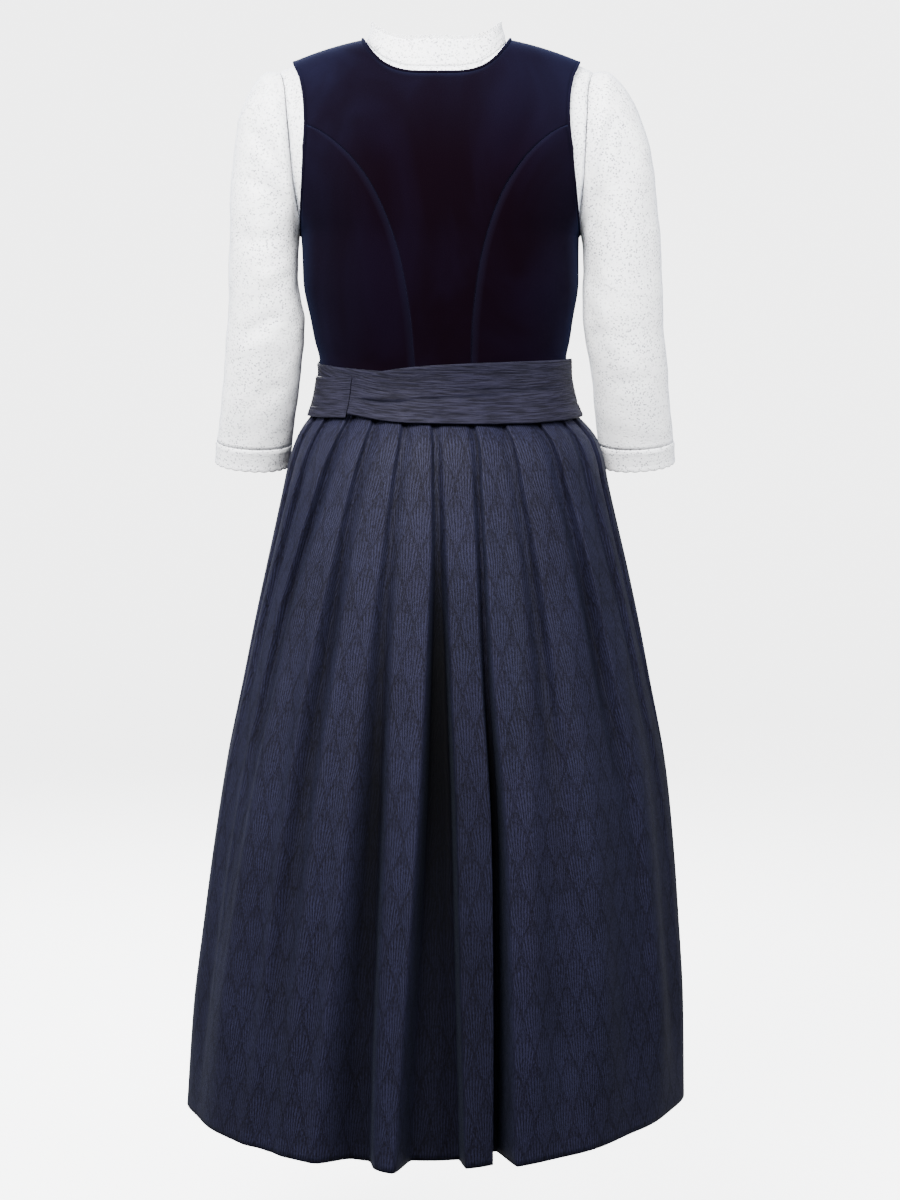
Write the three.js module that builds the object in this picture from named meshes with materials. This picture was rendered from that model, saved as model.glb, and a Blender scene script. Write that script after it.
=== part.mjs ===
// A worn dirndl set with no wearer inside: a velvet bodice, a pleated jacquard skirt, an apron whose
// ties cross at the back and end in a bow, and a lace blouse with a stand collar and 3/4 sleeves.
// Millimetres, +Z up, the front faces -Y and the wearer's left is +X. The origin lies midway between
// the two points where the bodice's shoulder seams meet its neckline.
import * as THREE from "three";

// ---------------------------------------------------------------- driving dimensions
const SEAM_GAP = 0.4; // between two pieces that are sewn together
const VELVET = 1.8; // wall thicknesses
const JACQUARD = 1.6;
const LACE = 1.2;
const CRINKLE = 1.2;

const BINDING_RADIUS = 1.25; // the bodice's edges are bound with a narrow strip of its own velvet
const BINDING_GAP = 0.8;
const BINDING_SIDES = 5;

const NECK_HALF = 82; // bodice neckline, half its width at the shoulder seams
const SHOULDER = { slope: 0.2, bend: 0.00143 }; // fall of the shoulder line past the neck point
const SHOULDER_TIP = 157.5; // half the bodice's width over the shoulders
const SLEEVE_TIP = 172; // and half the blouse's, where its sleeves are set in
const UNDERARM = -216; // height of the bodice's underarm point
const WAIST = -388; // height of the seam that joins bodice and skirt
const HEM = -1203;
const APRON_HEM = -1180;
const BACK_NECK = -41; // lowest point of the neckline at the back and at the front
const FRONT_NECK = -150;

const BODY_POWER = 2.3; // superellipse power of the torso's level sections
const ARCH_POWER = 2.5; // and of the arch that its shoulders make from front to back
const BLOUSE_INSET = 6.2; // the blouse lies this far inside the bodice's outer face
const RIDGE_INSET = 0.9; // and this share of it below the bodice on the shoulder ridge

// Height of the shoulder ridge at x from the middle, for a form that lies `inset` inside the bodice.
function ridge(x, inset) {
  const past = Math.abs(x) - NECK_HALF;
  return -SHOULDER.slope * past - SHOULDER.bend * Math.max(0, past) ** 2 - inset * RIDGE_INSET;
}
const SHOULDER_DROP = ridge(SHOULDER_TIP, 0);
const SLEEVE_DROP = ridge(SLEEVE_TIP, BLOUSE_INSET);

// Level sections of the torso: half its width, its depth to the back and to the front of the side
// seams, and how far its middle leans along X. Above the underarm the width takes in the arms.
const TORSO = [
  { z: 60, width: 194, back: 96, front: 82, lean: 0 },
  { z: -50, width: 208, back: 101, front: 93, lean: 0 },
  { z: -100, width: 205, back: 104, front: 101, lean: -1 },
  { z: -150, width: 188, back: 106, front: 110, lean: -2.2 },
  { z: -190, width: 166, back: 106, front: 115, lean: -3.2 },
  { z: UNDERARM, width: 154.4, back: 105, front: 117, lean: -3.9 },
  { z: -263, width: 153.4, back: 101, front: 113, lean: -4.8 },
  { z: -307, width: 146, back: 95, front: 104, lean: -5.7 },
  { z: -330, width: 142.4, back: 91, front: 99.5, lean: -6.2 },
  { z: -350, width: 138, back: 87.5, front: 95.5, lean: -6.8 },
  { z: -366, width: 137.4, back: 85, front: 92.5, lean: -7.1 },
  { z: WAIST, width: 140.2, back: 84, front: 91, lean: -7.4 },
];
const BUST = { x: 76, z: -248, spreadX: 46, spreadZ: 44, height: 19 };

// Seams and edges of the bodice and the blouse: half-width x at height z.
const BACK_PRINCESS = [
  { z: WAIST, x: 30 },
  { z: -316, x: 33 },
  { z: -279, x: 37 },
  { z: -244, x: 43 },
  { z: -217, x: 50 },
  { z: -187, x: 60.5 },
  { z: -159, x: 74 },
  { z: -133, x: 92.5 },
  { z: -114, x: 112 },
  { z: -102, x: 129 },
  { z: -96, x: 142.4 },
];
const FRONT_PRINCESS = [
  { z: WAIST, x: 42 },
  { z: -330, x: 50 },
  { z: -290, x: 62 },
  { z: -250, x: 75 },
  { z: -220, x: 82 },
  { z: -190, x: 92 },
  { z: -160, x: 107 },
  { z: -138, x: 122 },
  { z: -122, x: 136.2 },
];
const BACK_ARMHOLE = [
  { z: UNDERARM, x: 154.4 },
  { z: -211, x: 153.5 },
  { z: -200, x: 151.8 },
  { z: -176, x: 149.2 },
  { z: -154, x: 147 },
  { z: -132, x: 145 },
  { z: -110, x: 143.2 },
  { z: -88, x: 142.3 },
  { z: -66, x: 143.5 },
  { z: -43, x: 148 },
  { z: -33, x: 152.5 },
  { z: SHOULDER_DROP, x: SHOULDER_TIP },
];
const FRONT_ARMHOLE = [
  { z: UNDERARM, x: 154.4 },
  { z: -211, x: 153.3 },
  { z: -200, x: 150.8 },
  { z: -176, x: 146 },
  { z: -154, x: 141 },
  { z: -132, x: 137 },
  { z: -110, x: 135.4 },
  { z: -88, x: 136 },
  { z: -66, x: 139 },
  { z: -43, x: 146 },
  { z: -33, x: 151.5 },
  { z: SHOULDER_DROP, x: SHOULDER_TIP },
];

const BLOUSE_HEM = -300;
const BLOUSE_NECK = { half: 77, back: -34, front: -62, tip: SLEEVE_DROP, underarm: -206 };
const ARMSCYE = [
  { z: -206, x: 152.4 },
  { z: -196, x: 153.6 },
  { z: -175, x: 156 },
  { z: -150, x: 158 },
  { z: -117, x: 160.5 },
  { z: -90, x: 162.5 },
  { z: -60, x: 165 },
  { z: -45, x: 168 },
  { z: SLEEVE_DROP, x: SLEEVE_TIP },
];
const COLLAR = { back: 30, side: 19, front: 26, leanX: 0.93, leanY: 0.9 };

// Sleeve sections from the shoulder down: the under point and the upper point of each in the XZ
// plane, half its depth along Y, and how far the arm has moved along Y.
const SLEEVE = [
  { ux: 156.2, uz: -213, ox: 186, oz: -34.4, depth: 68, y: 0 },
  { ux: 157.2, uz: -221, ox: 202, oz: -47, depth: 65, y: 1 },
  { ux: 158, uz: -230, ox: 214.5, oz: -67, depth: 62, y: 2 },
  { ux: 158.4, uz: -241, ox: 224, oz: -92, depth: 60, y: 3 },
  { ux: 158.6, uz: -254, ox: 231, oz: -124, depth: 58, y: 5 },
  { ux: 158, uz: -270, ox: 235.5, oz: -165, depth: 56, y: 6 },
  { ux: 156.4, uz: -288, ox: 238.5, oz: -210, depth: 54, y: 7 },
  { ux: 155, uz: -308, ox: 241, oz: -260, depth: 51, y: 6 },
  { ux: 157, uz: -332, ox: 243.5, oz: -308, depth: 48, y: 3 },
  { ux: 161.4, uz: -362, ox: 247.4, oz: -354, depth: 46, y: -3 },
  { ux: 167.3, uz: -402, ox: 252, oz: -398, depth: 44, y: -14 },
  { ux: 173.2, uz: -447, ox: 258.6, oz: -443, depth: 42, y: -30 },
];
const CUFF = [
  { ux: 173.2, uz: -447.7, ox: 259.1, oz: -443.7, depth: 42.4, y: -30.2 },
  { ux: 177.2, uz: -472, ox: 261.6, oz: -466.5, depth: 42, y: -39 },
];
// Both arms hang a little towards the wearer's right, first on their outer side, then all round.
const ARM_DRIFT = [
  { z: -30, x: 0 },
  { z: -60, x: -2.6 },
  { z: -90, x: -3.6 },
  { z: -120, x: -5 },
  { z: -260, x: -5 },
  { z: -300, x: -4 },
  { z: -345, x: -3.4 },
  { z: -400, x: -2.3 },
  { z: -475, x: -1.7 },
];
const DRIFT_WHOLE = { from: -280, over: 60 }; // under points between which it becomes the whole ring
const CUFF_TILT = { most: 0.17, from: -150, over: 290 }; // the back of a section hangs lower, ever more
const SLEEVE_COLUMNS = 18;

// Level sections of the skirt at the outer face of its pleats. shear carries the left side back.
const SKIRT = [
  { z: WAIST - 0.6, width: 140.6, back: 84.4, front: 91.4, middle: -7.4, shear: 0 },
  { z: -400, width: 143.2, back: 86, front: 92.6, middle: -7.6, shear: 0 },
  { z: -409, width: 146.4, back: 88.6, front: 94.6, middle: -8, shear: 0 },
  { z: -416, width: 151.4, back: 93, front: 98, middle: -8.6, shear: 0 },
  { z: -423, width: 157.6, back: 98.5, front: 102.6, middle: -9.4, shear: 0 },
  { z: -431, width: 163.6, back: 104.5, front: 107.5, middle: -10.4, shear: 0 },
  { z: -441, width: 169.2, back: 110.5, front: 113, middle: -11.2, shear: 0 },
  { z: -463, width: 176.6, back: 120, front: 122.5, middle: -11, shear: 0.005 },
  { z: -486, width: 181, back: 128, front: 130, middle: -10.4, shear: 0.01 },
  { z: -531, width: 190.8, back: 141, front: 141, middle: -10.4, shear: 0.015 },
  { z: -577, width: 201.2, back: 153, front: 151, middle: -10.6, shear: 0.02 },
  { z: -645, width: 216, back: 169, front: 164, middle: -10.6, shear: 0.03 },
  { z: -713, width: 229.6, back: 184, front: 177, middle: -10.4, shear: 0.04 },
  { z: -805, width: 248, back: 202, front: 192, middle: -10, shear: 0.05 },
  { z: -898, width: 260.8, back: 217, front: 204, middle: -8.2, shear: 0.06 },
  { z: -991, width: 270.8, back: 229, front: 213, middle: -6, shear: 0.065 },
  { z: -1085, width: 279.8, back: 239, front: 220, middle: -3.8, shear: 0.075 },
  { z: HEM, width: 285.6, back: 249, front: 227, middle: -1.4, shear: 0.08 },
];
const SKIRT_POWER = { waist: 2.3, hem: 1.87 };
const SKIRT_LEVELS = [0, 0.02, 0.031, 0.044, 0.07, 0.12, 0.19, 0.28, 0.4, 0.55, 0.76, 1];
const HEM_SWAY = { side: -10, centre: 5 }; // how much lower the hem hangs there

// Pleats. Angles in degrees run from the centre back towards the wearer's right. Each row gives a
// pleat's place, depth and half-width at five heights, and how wide its folded edge (edge) and its
// soft side (soft) are at the waist and at the hem. A pleat's folded edge is its side that is
// turned away from the centre back.
const PLEAT_HEIGHTS = [0.04, 0.18, 0.32, 0.6, 1];
const PLEATS = [
  {
    at: [-74, -79, -81, -82, -84],
    depth: [5, 5, 3, 0, 0],
    half: [0.4, 0.5, 0.6, 1, 0.8],
    edge: [0.7, 1.8],
    soft: [11, 3],
  },
  {
    at: [-59, -67, -71, -74, -76],
    depth: [5, 7, 5, 1, 0],
    half: [0.4, 0.5, 0.6, 1, 1],
    edge: [0.7, 2.6],
    soft: [12, 3.6],
  },
  {
    at: [-42.6, -52.7, -59.4, -63, -66],
    depth: [6, 10, 10, 4, 0],
    half: [0.4, 0.5, 0.8, 1.5, 2],
    edge: [0.7, 3.6],
    soft: [12, 8],
  },
  {
    at: [-28.3, -34.2, -37, -40, -43],
    depth: [6, 9, 14, 13, 5],
    half: [0.4, 0.4, 0.6, 1, 1.5],
    edge: [0.7, 6],
    soft: [12, 8],
  },
  {
    at: [-14.6, -17.2, -18.7, -19.3, -20.7],
    depth: [6, 9, 15, 26, 34],
    half: [0.4, 0.4, 0.6, 1.2, 2],
    edge: [0.7, 7.5],
    soft: [9.5, 6.5],
  },
  {
    at: [-3.5, -2.4, -2.2, -1.5, -0.7],
    depth: [6, 13, 26, 42, 46],
    half: [0.4, 0.6, 1.5, 3.6, 7],
    edge: [0.7, 3.2],
    soft: [6, 2.4],
  },
  {
    at: [9.5, 10.6, 11.2, 14, 16.2],
    depth: [6, 10, 16, 34, 58],
    half: [0.4, 0.4, 0.5, 0.8, 1.3],
    edge: [0.7, 1.4],
    soft: [6, 1.4],
  },
  {
    at: [22, 26.3, 28.4, 30, 32],
    depth: [6, 9, 12, 5, 0],
    half: [0.4, 0.4, 0.6, 1, 1.5],
    edge: [0.7, 5],
    soft: [11, 8],
  },
  {
    at: [39.8, 47.2, 50.9, 54, 56],
    depth: [6, 10, 15, 6, 0],
    half: [0.4, 0.4, 0.8, 1.5, 2],
    edge: [0.7, 3.6],
    soft: [13, 9],
  },
  {
    at: [57, 65, 69, 73, 75],
    depth: [5, 7, 6, 2, 0],
    half: [0.4, 0.5, 0.6, 1, 1],
    edge: [0.7, 2.6],
    soft: [12, 3.6],
  },
  {
    at: [73, 79, 81, 82, 84],
    depth: [5, 5, 3, 0, 0],
    half: [0.4, 0.5, 0.6, 1, 0.8],
    edge: [0.7, 1.8],
    soft: [11, 3],
  },
];
const FRONT_PLEATS = 5; // evenly spaced under the apron, on each side of the centre front
const FRONT_PLEAT = {
  first: 104,
  step: 15.5,
  depth: [5, 6, 7, 8, 9],
  half: [0.4, 0.5, 0.7, 1.2, 2],
  edge: [0.7, 3],
  soft: [11, 6],
};
const PLEAT_SHAPE = { top: 0.75, softPlace: 0.5, softDepth: 0.42 }; // shares of its depth and soft side

// The apron's panel, gathered into its band over the front of the skirt.
const APRON = { from: 109, to: 251, top: -415, clear: 1.6, gathers: 17, topRise: 2.6, hemRise: 9 };
const GATHER = { crests: [0.5, 1, 0], least: 0.75, turn: 1.9 }; // its columns' heights, and their variety
const APRON_LEVELS = [0, 0.012, 0.03, 0.07, 0.16, 0.32, 0.55, 0.78, 1];

// The bed that band and ties lie on, over the bodice's waist and the top of the skirt.
const SASH_BED = [
  { z: -340, width: 140, back: 89, front: 97, lean: -6.5 },
  { z: -354, width: 137.9, back: 87, front: 95, lean: -6.9 },
  { z: -367, width: 137.9, back: 85.2, front: 92.8, lean: -7.1 },
  { z: -381, width: 139.8, back: 84.6, front: 91.6, lean: -7.3 },
  { z: -394, width: 142.6, back: 86, front: 92.8, lean: -7.6 },
  { z: -407, width: 147, back: 89.4, front: 95.4, lean: -8 },
  { z: -420, width: 153, back: 94.4, front: 99.4, lean: -8.8 },
];
// Three layers, measured out from that bed, keep them apart where they cross.
const LAYER = { under: 1, middle: 3.1, over: 5.2 };
const BAND = { from: -42.6, to: -318, top: -369, bottom: -413 };
// Each tie: angle, height of its lower and upper edge, and its layer, along its way round.
const LEFT_TIE = [
  { deg: -42.1, low: -408.6, high: -372, layer: LAYER.middle },
  { deg: -36, low: -410.5, high: -368, layer: LAYER.middle },
  { deg: -24, low: -414.5, high: -361.5, layer: LAYER.middle + 0.4 },
  { deg: -8, low: -417.5, high: -356.5, layer: LAYER.over - 0.3 },
  { deg: 12, low: -418.5, high: -353, layer: LAYER.over },
  { deg: 34, low: -418, high: -351.5, layer: LAYER.over },
  { deg: 58, low: -415.5, high: -350.5, layer: LAYER.over },
  { deg: 84, low: -413, high: -350, layer: LAYER.over },
  { deg: 112, low: -410, high: -352, layer: LAYER.over },
  { deg: 140, low: -407, high: -357, layer: LAYER.over },
  { deg: 166, low: -404, high: -364, layer: LAYER.over },
  { deg: 183, low: -400, high: -371, layer: LAYER.over },
  { deg: 191, low: -397, high: -376, layer: LAYER.over },
];
const RIGHT_TIE = [
  { deg: 41.5, low: -410, high: -371, layer: LAYER.middle },
  { deg: 30, low: -408, high: -370, layer: LAYER.middle - 0.4 },
  { deg: 12, low: -405, high: -368, layer: LAYER.under },
  { deg: -12, low: -401, high: -365, layer: LAYER.under },
  { deg: -28, low: -398, high: -361.5, layer: LAYER.under },
  { deg: -44, low: -393, high: -359.5, layer: LAYER.under },
  { deg: -62, low: -387, high: -357, layer: LAYER.under },
  { deg: -78, low: -380, high: -355.5, layer: LAYER.under },
  { deg: -92, low: -373, high: -354, layer: LAYER.under },
  { deg: -103, low: -367.2, high: -350, layer: LAYER.under + 0.2 },
  { deg: -112, low: -366.6, high: -347, layer: LAYER.middle + 0.6 },
  { deg: -121, low: -367.5, high: -346, layer: LAYER.over },
  { deg: -133, low: -377, high: -350, layer: LAYER.over },
  { deg: -145, low: -391, high: -362, layer: LAYER.over },
  { deg: -154, low: -400, high: -376, layer: LAYER.over },
];
// The bow, made of the ties' ends: a knot, two loops that droop from it and two tails.
const BOW = { deg: -163, z: -389, clear: 7.4, lift: 8.5 };
const KNOT = { halfWide: 12.5, halfDeep: 8, halfHigh: 17 };
const LOOP = { root: 15, reach: 98, top: -5, droop: 0.34, puff: 20, back: 2 };
const LOOP_HALF = { root: 10, full: 23, fullAt: 75 }; // half its height at the knot, and further out
const TAIL = { top: -408, bottom: -835, halfTop: 9, halfBottom: 29, splayTop: 3, splayBottom: 11 };
const TAIL_WAVE = { height: 0.7, across: 9, along: 4 };
const TAIL_LAYER = { left: 4, right: 1.2 }; // the left tail lies over the right one

// ---------------------------------------------------------------- numbers and curves
const radians = (degrees) => (degrees * Math.PI) / 180;
const mix = (a, b, t) => a + (b - a) * t;
const clamp = (v, low, high) => Math.min(high, Math.max(low, v));
const smooth = (t) => t * t * (3 - 2 * t);
const power = (v, p) => Math.sign(v) * Math.abs(v) ** p;
const steps = (count) => Array.from({ length: count + 1 }, (_, i) => i / count);

// A smooth curve through knots (x, y) that never overshoots them.
function through(xs, ys) {
  const slope = xs.slice(1).map((x, i) => (ys[i + 1] - ys[i]) / (x - xs[i]));
  const tangent = xs.map((_, i) => {
    if (i === 0) return slope[0];
    if (i === xs.length - 1) return slope[i - 1];
    const [a, b] = [slope[i - 1], slope[i]];
    return a * b <= 0 ? 0 : (2 * a * b) / (a + b);
  });
  return (x) => {
    const at = clamp(x, xs[0], xs.at(-1));
    const i = clamp(xs.findIndex((k) => k > at) - 1, 0, xs.length - 2);
    const k = at >= xs.at(-1) ? xs.length - 2 : i;
    const width = xs[k + 1] - xs[k];
    const t = (at - xs[k]) / width;
    const bend = (t ** 3 - 2 * t ** 2 + t) * tangent[k] + (t ** 3 - t ** 2) * tangent[k + 1];
    return mix(ys[k], ys[k + 1], smooth(t)) + width * bend;
  };
}

// One column of a table as a curve over another of its columns.
function column(rows, name, over = "z") {
  const sorted = [...rows].sort((a, b) => a[over] - b[over]);
  return through(sorted.map((row) => row[over]), sorted.map((row) => row[name]));
}

// The value between low and high where a falling or rising function crosses zero.
function root(f, low, high) {
  let [a, b] = [low, high];
  const rising = f(b) > f(a);
  for (let i = 0; i < 50; i++) {
    const middle = (a + b) / 2;
    if (f(middle) > 0 === rising) b = middle;
    else a = middle;
  }
  return (a + b) / 2;
}

// ---------------------------------------------------------------- cloth walls
// A closed mesh from its points and triangles, turned so that its faces point out.
function solid(name, material, points, index) {
  let volume = 0;
  for (let k = 0; k < index.length; k += 3) {
    const [a, b, c] = index.slice(k, k + 3).map((i) => points[i]);
    volume += a.dot(b.clone().cross(c));
  }
  const faces = volume > 0 ? index : index.reverse();
  const geometry = new THREE.BufferGeometry();
  geometry.setAttribute("position", new THREE.Float32BufferAttribute(points.flatMap((p) => p.toArray()), 3));
  geometry.setIndex(faces);
  const mesh = new THREE.Mesh(geometry, material);
  mesh.name = name;
  return mesh;
}

// The direction of a row of points at entry k, exact to second order at its two ends.
function direction(points, k, ring) {
  const count = points.length;
  const step = (a, b) => points[(b + count) % count].clone().sub(points[(a + count) % count]);
  if (ring || (k > 0 && k < count - 1)) return step(k - 1, k + 1);
  const way = k === 0 ? 1 : -1;
  const near = step(k, k + way).multiplyScalar(way);
  if (count < 3) return near;
  const far = step(k + way, k + 2 * way).multiplyScalar(way);
  const [a, b] = [near.length(), far.length()];
  return near.multiplyScalar(1 / a + 1 / (a + b)).addScaledVector(far, -a / (b * (a + b)));
}

// The unit normal of a grid at row i and column j.
function gridNormal(grid, i, j, ring) {
  const across = direction(grid[i], j, ring);
  const along = direction(grid.map((row) => row[j]), i, false);
  return across.cross(along).normalize();
}

// Whether a grid's normals point away from core(point), taken over the whole grid.
function facesOut(grid, core, ring) {
  let sum = 0;
  grid.forEach((row, i) =>
    row.forEach((p, j) => {
      sum += gridNormal(grid, i, j, ring).dot(p.clone().sub(core(p)));
    }),
  );
  return sum > 0;
}

// A closed solid from a grid of outer points. The wall grows inwards, towards core(point), against
// the grid's own normals or those of a given surface. A ring joins its last column to its first.
function wall(name, material, given, thickness, { core = bodyAxis, ring = false, surface } = {}) {
  const grid = facesOut(given, core, ring) ? given : given.map((row) => [...row].reverse());
  const rows = grid.length;
  const columns = grid[0].length;
  const outer = [];
  const inner = [];
  for (let i = 0; i < rows; i++) {
    for (let j = 0; j < columns; j++) {
      const normal = surface ? surface(grid[i][j]) : gridNormal(grid, i, j, ring);
      outer.push(grid[i][j]);
      inner.push(grid[i][j].clone().addScaledVector(normal, -thickness));
    }
  }
  const points = [...outer, ...inner];
  const half = outer.length;
  const id = (i, j, side) => i * columns + ((j + columns) % columns) + side * half;
  const index = [];
  // Two triangles across the shorter diagonal.
  const quad = (a, b, c, d) => {
    if (points[a].distanceTo(points[c]) <= points[b].distanceTo(points[d])) index.push(a, b, c, a, c, d);
    else index.push(b, c, d, b, d, a);
  };
  const spans = ring ? columns : columns - 1;
  for (let i = 0; i + 1 < rows; i++) {
    for (let j = 0; j < spans; j++) {
      quad(id(i, j, 0), id(i, j + 1, 0), id(i + 1, j + 1, 0), id(i + 1, j, 0));
      quad(id(i, j, 1), id(i + 1, j, 1), id(i + 1, j + 1, 1), id(i, j + 1, 1));
    }
  }
  for (let j = 0; j < spans; j++) {
    quad(id(0, j, 0), id(0, j, 1), id(0, j + 1, 1), id(0, j + 1, 0));
    quad(id(rows - 1, j, 0), id(rows - 1, j + 1, 0), id(rows - 1, j + 1, 1), id(rows - 1, j, 1));
  }
  if (!ring) {
    for (let i = 0; i + 1 < rows; i++) {
      quad(id(i, 0, 0), id(i + 1, 0, 0), id(i + 1, 0, 1), id(i, 0, 1));
      const end = columns - 1;
      quad(id(i, end, 0), id(i, end, 1), id(i + 1, end, 1), id(i + 1, end, 0));
    }
  }
  return solid(name, material, points, index);
}

const bodyAxis = (p) => new THREE.Vector3(0, 0, p.z);

// ---------------------------------------------------------------- the torso's form
const torsoWidth = column(TORSO, "width");
const torsoDepth = { back: column(TORSO, "back"), front: column(TORSO, "front") };
const torsoLean = column(TORSO, "lean");

// Share of the torso's depth that is left at height z, where it arches over to the shoulder ridge.
function arch(x, z, inset) {
  const rise = clamp((z - UNDERARM) / (ridge(x, inset) - UNDERARM), 0, 1);
  return (1 - rise ** ARCH_POWER) ** (1 / ARCH_POWER);
}

function bust(x, z) {
  const across = ((Math.abs(x) - BUST.x) / BUST.spreadX) ** 2;
  const along = ((z - BUST.z) / BUST.spreadZ) ** 2;
  return BUST.height * Math.exp(-across - along);
}

// Y of the form's surface on its back or front, x from the leaning middle and at height z.
function formY(side, x, z, inset) {
  const width = torsoWidth(z) - inset;
  const flat = (1 - clamp(Math.abs(x) / width, 0, 1) ** BODY_POWER) ** (1 / BODY_POWER);
  const depth = torsoDepth[side](z) - inset + (side === "front" ? bust(x, z) : 0);
  const y = Math.max(depth * flat * arch(x, z, inset), SEAM_GAP / 2);
  return side === "back" ? y : -y;
}

// The unit normal of the form at a point on it, from the slope of an implicit form of the surface.
function formNormal(p, inset) {
  const side = p.y > 0 ? "back" : "front";
  const level = (x, y, z) => {
    const across = Math.abs(x - torsoLean(z));
    const depth = torsoDepth[side](z) - inset + (side === "front" ? bust(across, z) : 0);
    const rise = Math.max(0, (z - UNDERARM) / (ridge(across, inset) - UNDERARM));
    const flat = 1 - (across / (torsoWidth(z) - inset)) ** BODY_POWER;
    return Math.abs(y / depth) ** BODY_POWER - flat * power(1 - rise ** ARCH_POWER, BODY_POWER / ARCH_POWER);
  };
  const h = 0.02;
  const slope = new THREE.Vector3(
    level(p.x + h, p.y, p.z) - level(p.x - h, p.y, p.z),
    level(p.x, p.y + h, p.z) - level(p.x, p.y - h, p.z),
    level(p.x, p.y, p.z + h) - level(p.x, p.y, p.z - h),
  );
  return slope.normalize();
}

const formPoint = (side, x, z, inset) => new THREE.Vector3(x + torsoLean(z), formY(side, x, z, inset), z);

// Angle round the level section at z of the point at half-width x, and the way back.
const sectionAngle = (x, z, inset) => Math.acos(clamp(x / (torsoWidth(z) - inset), 0, 1) ** (BODY_POWER / 2));
const sectionX = (angle, z, inset) => (torsoWidth(z) - inset) * Math.cos(angle) ** (2 / BODY_POWER);

// Angle of a height on the shoulder arch: 0 at the underarm and 90 degrees on the ridge.
function archAngle(x, z, inset) {
  const rise = clamp((z - UNDERARM) / (ridge(x, inset) - UNDERARM), 0, 1);
  return Math.asin(rise ** (ARCH_POWER / 2));
}

function archHeight(x, angle, inset) {
  return mix(UNDERARM, ridge(x, inset), Math.sin(angle) ** (2 / ARCH_POWER));
}

// A panel that runs from its hem over the chest or shoulder blades to the neckline and the shoulder
// seam. edge gives its half-width at each of the heights in levels, which end at the shoulder tip.
// across are the columns from inner to outer, as shares of that half-width low down and at the top.
function centrePanel({ side, inset, levels, edge, across, neckline, neckHalf }) {
  const tip = edge(levels.at(-1));
  const topAngle = (share) => {
    const x = Math.abs(share) * tip;
    return x >= neckHalf - 0.02 ? Math.PI / 2 : archAngle(x, neckline(x), inset);
  };
  return levels.map((level, k) => {
    const width = edge(level);
    const last = k === levels.length - 1;
    const angle = last ? Math.PI / 2 : archAngle(width, level, inset);
    const up = angle / (Math.PI / 2);
    const bend = smooth(up);
    return across.map(({ low, top }) => {
      const beyond = clamp((Math.abs(top) * tip - neckHalf) / (tip - neckHalf), 0, 1);
      const high = top * tip + Math.sign(top) * (width - tip) * beyond;
      const wanted = mix(low * width, high, bend);
      const x = side === "front" ? Math.max(wanted, SEAM_GAP / 2) : wanted;
      if (level <= UNDERARM) return formPoint(side, x, level, inset);
      const even = mix(topAngle(0), Math.PI / 2, Math.abs(low));
      return formPoint(side, x, archHeight(x, up * mix(even, topAngle(top), bend), inset), inset);
    });
  });
}

// Columns of a centre panel. They crowd towards the neck point, where a neckline turns.
const NECK_COLUMNS = [
  { low: 0, top: 0 },
  { low: 0.38, top: 0.4 },
  { low: 0.67, top: 0.7 },
  { low: 0.85, top: 0.88 },
  { low: 0.94, top: 0.97 },
  { low: 1, top: 1 },
];
function panelColumns(side, neckHalf, tip, outside) {
  const neck = neckHalf / tip;
  const inside = NECK_COLUMNS.map(({ low, top }) => ({ low: low * neck, top: top * neck }));
  const half = [...inside, ...outside.map((s) => ({ low: mix(neck, 1, s), top: mix(neck, 1, s) }))];
  const other = half.slice(1).map(({ low, top }) => ({ low: -low, top: -top }));
  return side === "back" ? [...other.reverse(), ...half] : half;
}

// A panel's mirror image on the wearer's right, about the leaning middle of the torso.
function otherSide(grid) {
  return grid.map((row) => row.map((p) => new THREE.Vector3(2 * torsoLean(p.z) - p.x, p.y, p.z)));
}

// ---------------------------------------------------------------- bodice
const BODICE_SEAM_SHARES = [0, 0.12, 0.25, 0.37, 0.47, 0.57, 0.66, 0.75, 0.84, 0.92, 0.97, 1];
const BODICE_ARMHOLE_SHARES = [0.22, 0.44, 0.63, 0.78, 0.89, 0.96, 1];
const SIDE_COLUMNS = { back: steps(4), front: steps(6) };

function bodiceSeam(side) {
  const princess = side === "back" ? BACK_PRINCESS : FRONT_PRINCESS;
  const armhole = column(side === "back" ? BACK_ARMHOLE : FRONT_ARMHOLE, "x");
  const seam = column(princess, "x");
  const junction = princess.at(-1).z;
  const tip = ridge(SHOULDER_TIP, 0);
  const seamLevels = BODICE_SEAM_SHARES.map((share) => mix(WAIST, junction, share));
  const armholeLevels = BODICE_ARMHOLE_SHARES.map((share) => mix(junction, tip, share));
  return { armhole, seam, junction, seamLevels, armholeLevels };
}

function bodiceCentre(side) {
  const { armhole, seam, junction, seamLevels, armholeLevels } = bodiceSeam(side);
  const lowest = side === "back" ? BACK_NECK : FRONT_NECK;
  const bend = side === "back" ? 3.8 : 2.6;
  return centrePanel({
    side,
    inset: 0,
    levels: [...seamLevels, ...armholeLevels],
    edge: (z) => (z < junction - 1e-6 ? seam(z) - SEAM_GAP / 2 : armhole(z)),
    across: panelColumns(side, NECK_HALF, SHOULDER_TIP, [0.5, 1]),
    neckline: (x) => mix(lowest, 0, (x / NECK_HALF) ** bend),
    neckHalf: NECK_HALF,
  });
}

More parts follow.
